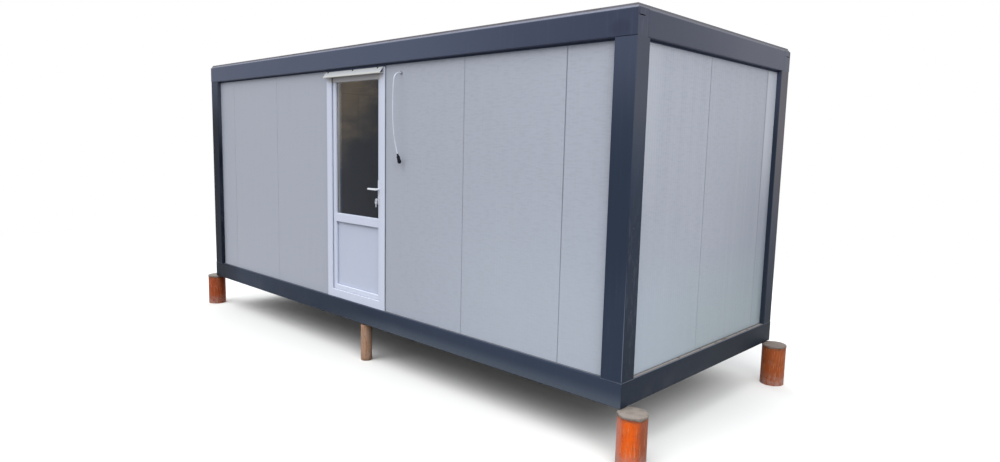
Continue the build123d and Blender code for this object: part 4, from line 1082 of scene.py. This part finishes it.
def weld_run(heap, start, length, beat, shift, place):
    """A lumpy bead, thin at its ends; place takes how far along, out and up."""
    count, sides = 64, 8
    rings = []
    for i in range(count):
        along = length * i / (count - 1)
        lump = 1 + 0.16 * math.sin(i * beat) + 0.25 * noise.noise(Vector((i * 0.4, *shift)))
        fade = min(1.0, 0.25 + 3.0 * min(i, count - 1 - i) / count)
        r = WELD_RADIUS * lump * fade
        ring = []
        for j in range(sides):
            angle = 2 * math.pi * j / sides
            spot = place(along, r * 0.75 * math.cos(angle), r * math.sin(angle))
            ring.append(start + Vector(spot))
        rings.append(ring)
    heap.add(*tube(rings))


def make_post_welds():
    """Weld runs where the corner posts stand on the base, painted over."""
    heap = Heap()
    inset = 0.001
    for side in (-1, 1):
        for face_y, out in ((FRONT_Y, -1), (REAR_Y, 1)):
            start = Vector((side * (RIGHT_X - inset), face_y, SILL_Z))
            weld_run(heap, start, POST_FRONT_FACE, 2.1, (side, out),
                     lambda along, off, up: (-side * along, off, up))
            start = Vector((side * RIGHT_X, face_y - out * inset, SILL_Z))
            weld_run(heap, start, POST_END_FACE, 2.3, (side, -out),
                     lambda along, off, up: (off, -out * along, up))
    heap.piece("post_welds", posts_and_base, CABIN, "frame_paint")


make_gaskets()
make_door_seal()
make_keep()
make_door_screws()
make_frame_screws()
make_drip_screws()
make_roof_screws()
make_post_welds()


# Floor and light: what the ground gives back, and the sky's strength low and overhead
GROUND = 0.12
HORIZON = 0.5
OVERHEAD = 1.5
WHITE = (1.0, 1.0, 1.0)


def make_floor():
    """A pale floor, white further off, that throws no more light up than plain ground."""
    mesh = bpy.data.meshes.new("floor")
    reach = 60.0
    corners = [(-reach, -reach, 0), (reach, -reach, 0), (reach, reach, 0), (-reach, reach, 0)]
    mesh.from_pydata(corners, [], [(0, 1, 2, 3)])
    f = Finish("floor", (232, 232, 230), 0.7, specular=0.2)
    f.done()
    away = f.calc("SQRT", f.calc("ADD", f.times(f.x, f.x, 0.45), f.times(f.y, f.y)))
    pale = f.mix(f.step(away, 3.4, 8.0), f.shader, f.plain("Emission", WHITE))
    both = f.mix(f.seen(), f.plain("BsdfDiffuse", [GROUND] * 3), pale)
    f.put(f.tree.nodes["Material Output"].inputs["Surface"], both.outputs[0])
    mesh.materials.append(f.material)
    floor = bpy.data.objects.new("floor", mesh)
    scene.collection.objects.link(floor)


def make_world():
    """An even sky, brighter overhead, and a white backdrop to look at."""
    world = bpy.data.worlds.new("studio")
    world.use_nodes = True
    scene.world = world
    world.node_tree.nodes.clear()
    g = Graph(world.node_tree)
    height = g.split(g.node("TexCoord").outputs["Generated"])[2]
    up = g.calc("MAXIMUM", height, 0.0)
    sky = g.plain("Background", (0.95, 0.97, 1.0))
    g.put(sky.inputs["Strength"], g.calc("MULTIPLY_ADD", up, OVERHEAD - HORIZON, HORIZON))
    backdrop = g.plain("Background", WHITE)
    backdrop.inputs["Strength"].default_value = 1.0
    both = g.mix(g.seen(), sky, backdrop)
    g.put(g.node("OutputWorld").inputs[0], both.outputs[0])


def lamp(name, kind, place, target, energy):
    """A lamp turned towards a point."""
    data = bpy.data.lights.new(name, kind)
    data.energy = energy
    obj = bpy.data.objects.new(name, data)
    obj.location = place
    obj.rotation_euler = (Vector(target) - Vector(place)).to_track_quat("-Z", "Y").to_euler()
    scene.collection.objects.link(obj)
    return data


make_floor()
make_world()
key = lamp("key", "SUN", (-1.0, -5.7, 8.2), (0, 0, 0), 1.64)
key.angle = math.radians(50)
for name, place, target, watts, size in (
        ("side", (8.0, -3.6, 5.6), (3.0, -0.6, 1.4), 270, 5.0),
        ("back", (-6.5, 8.0, 6.0), (-0.5, 0.5, 1.4), 420, 6.0)):
    disk = lamp(name, "AREA", place, target, watts)
    disk.shape = "DISK"
    disk.size = size
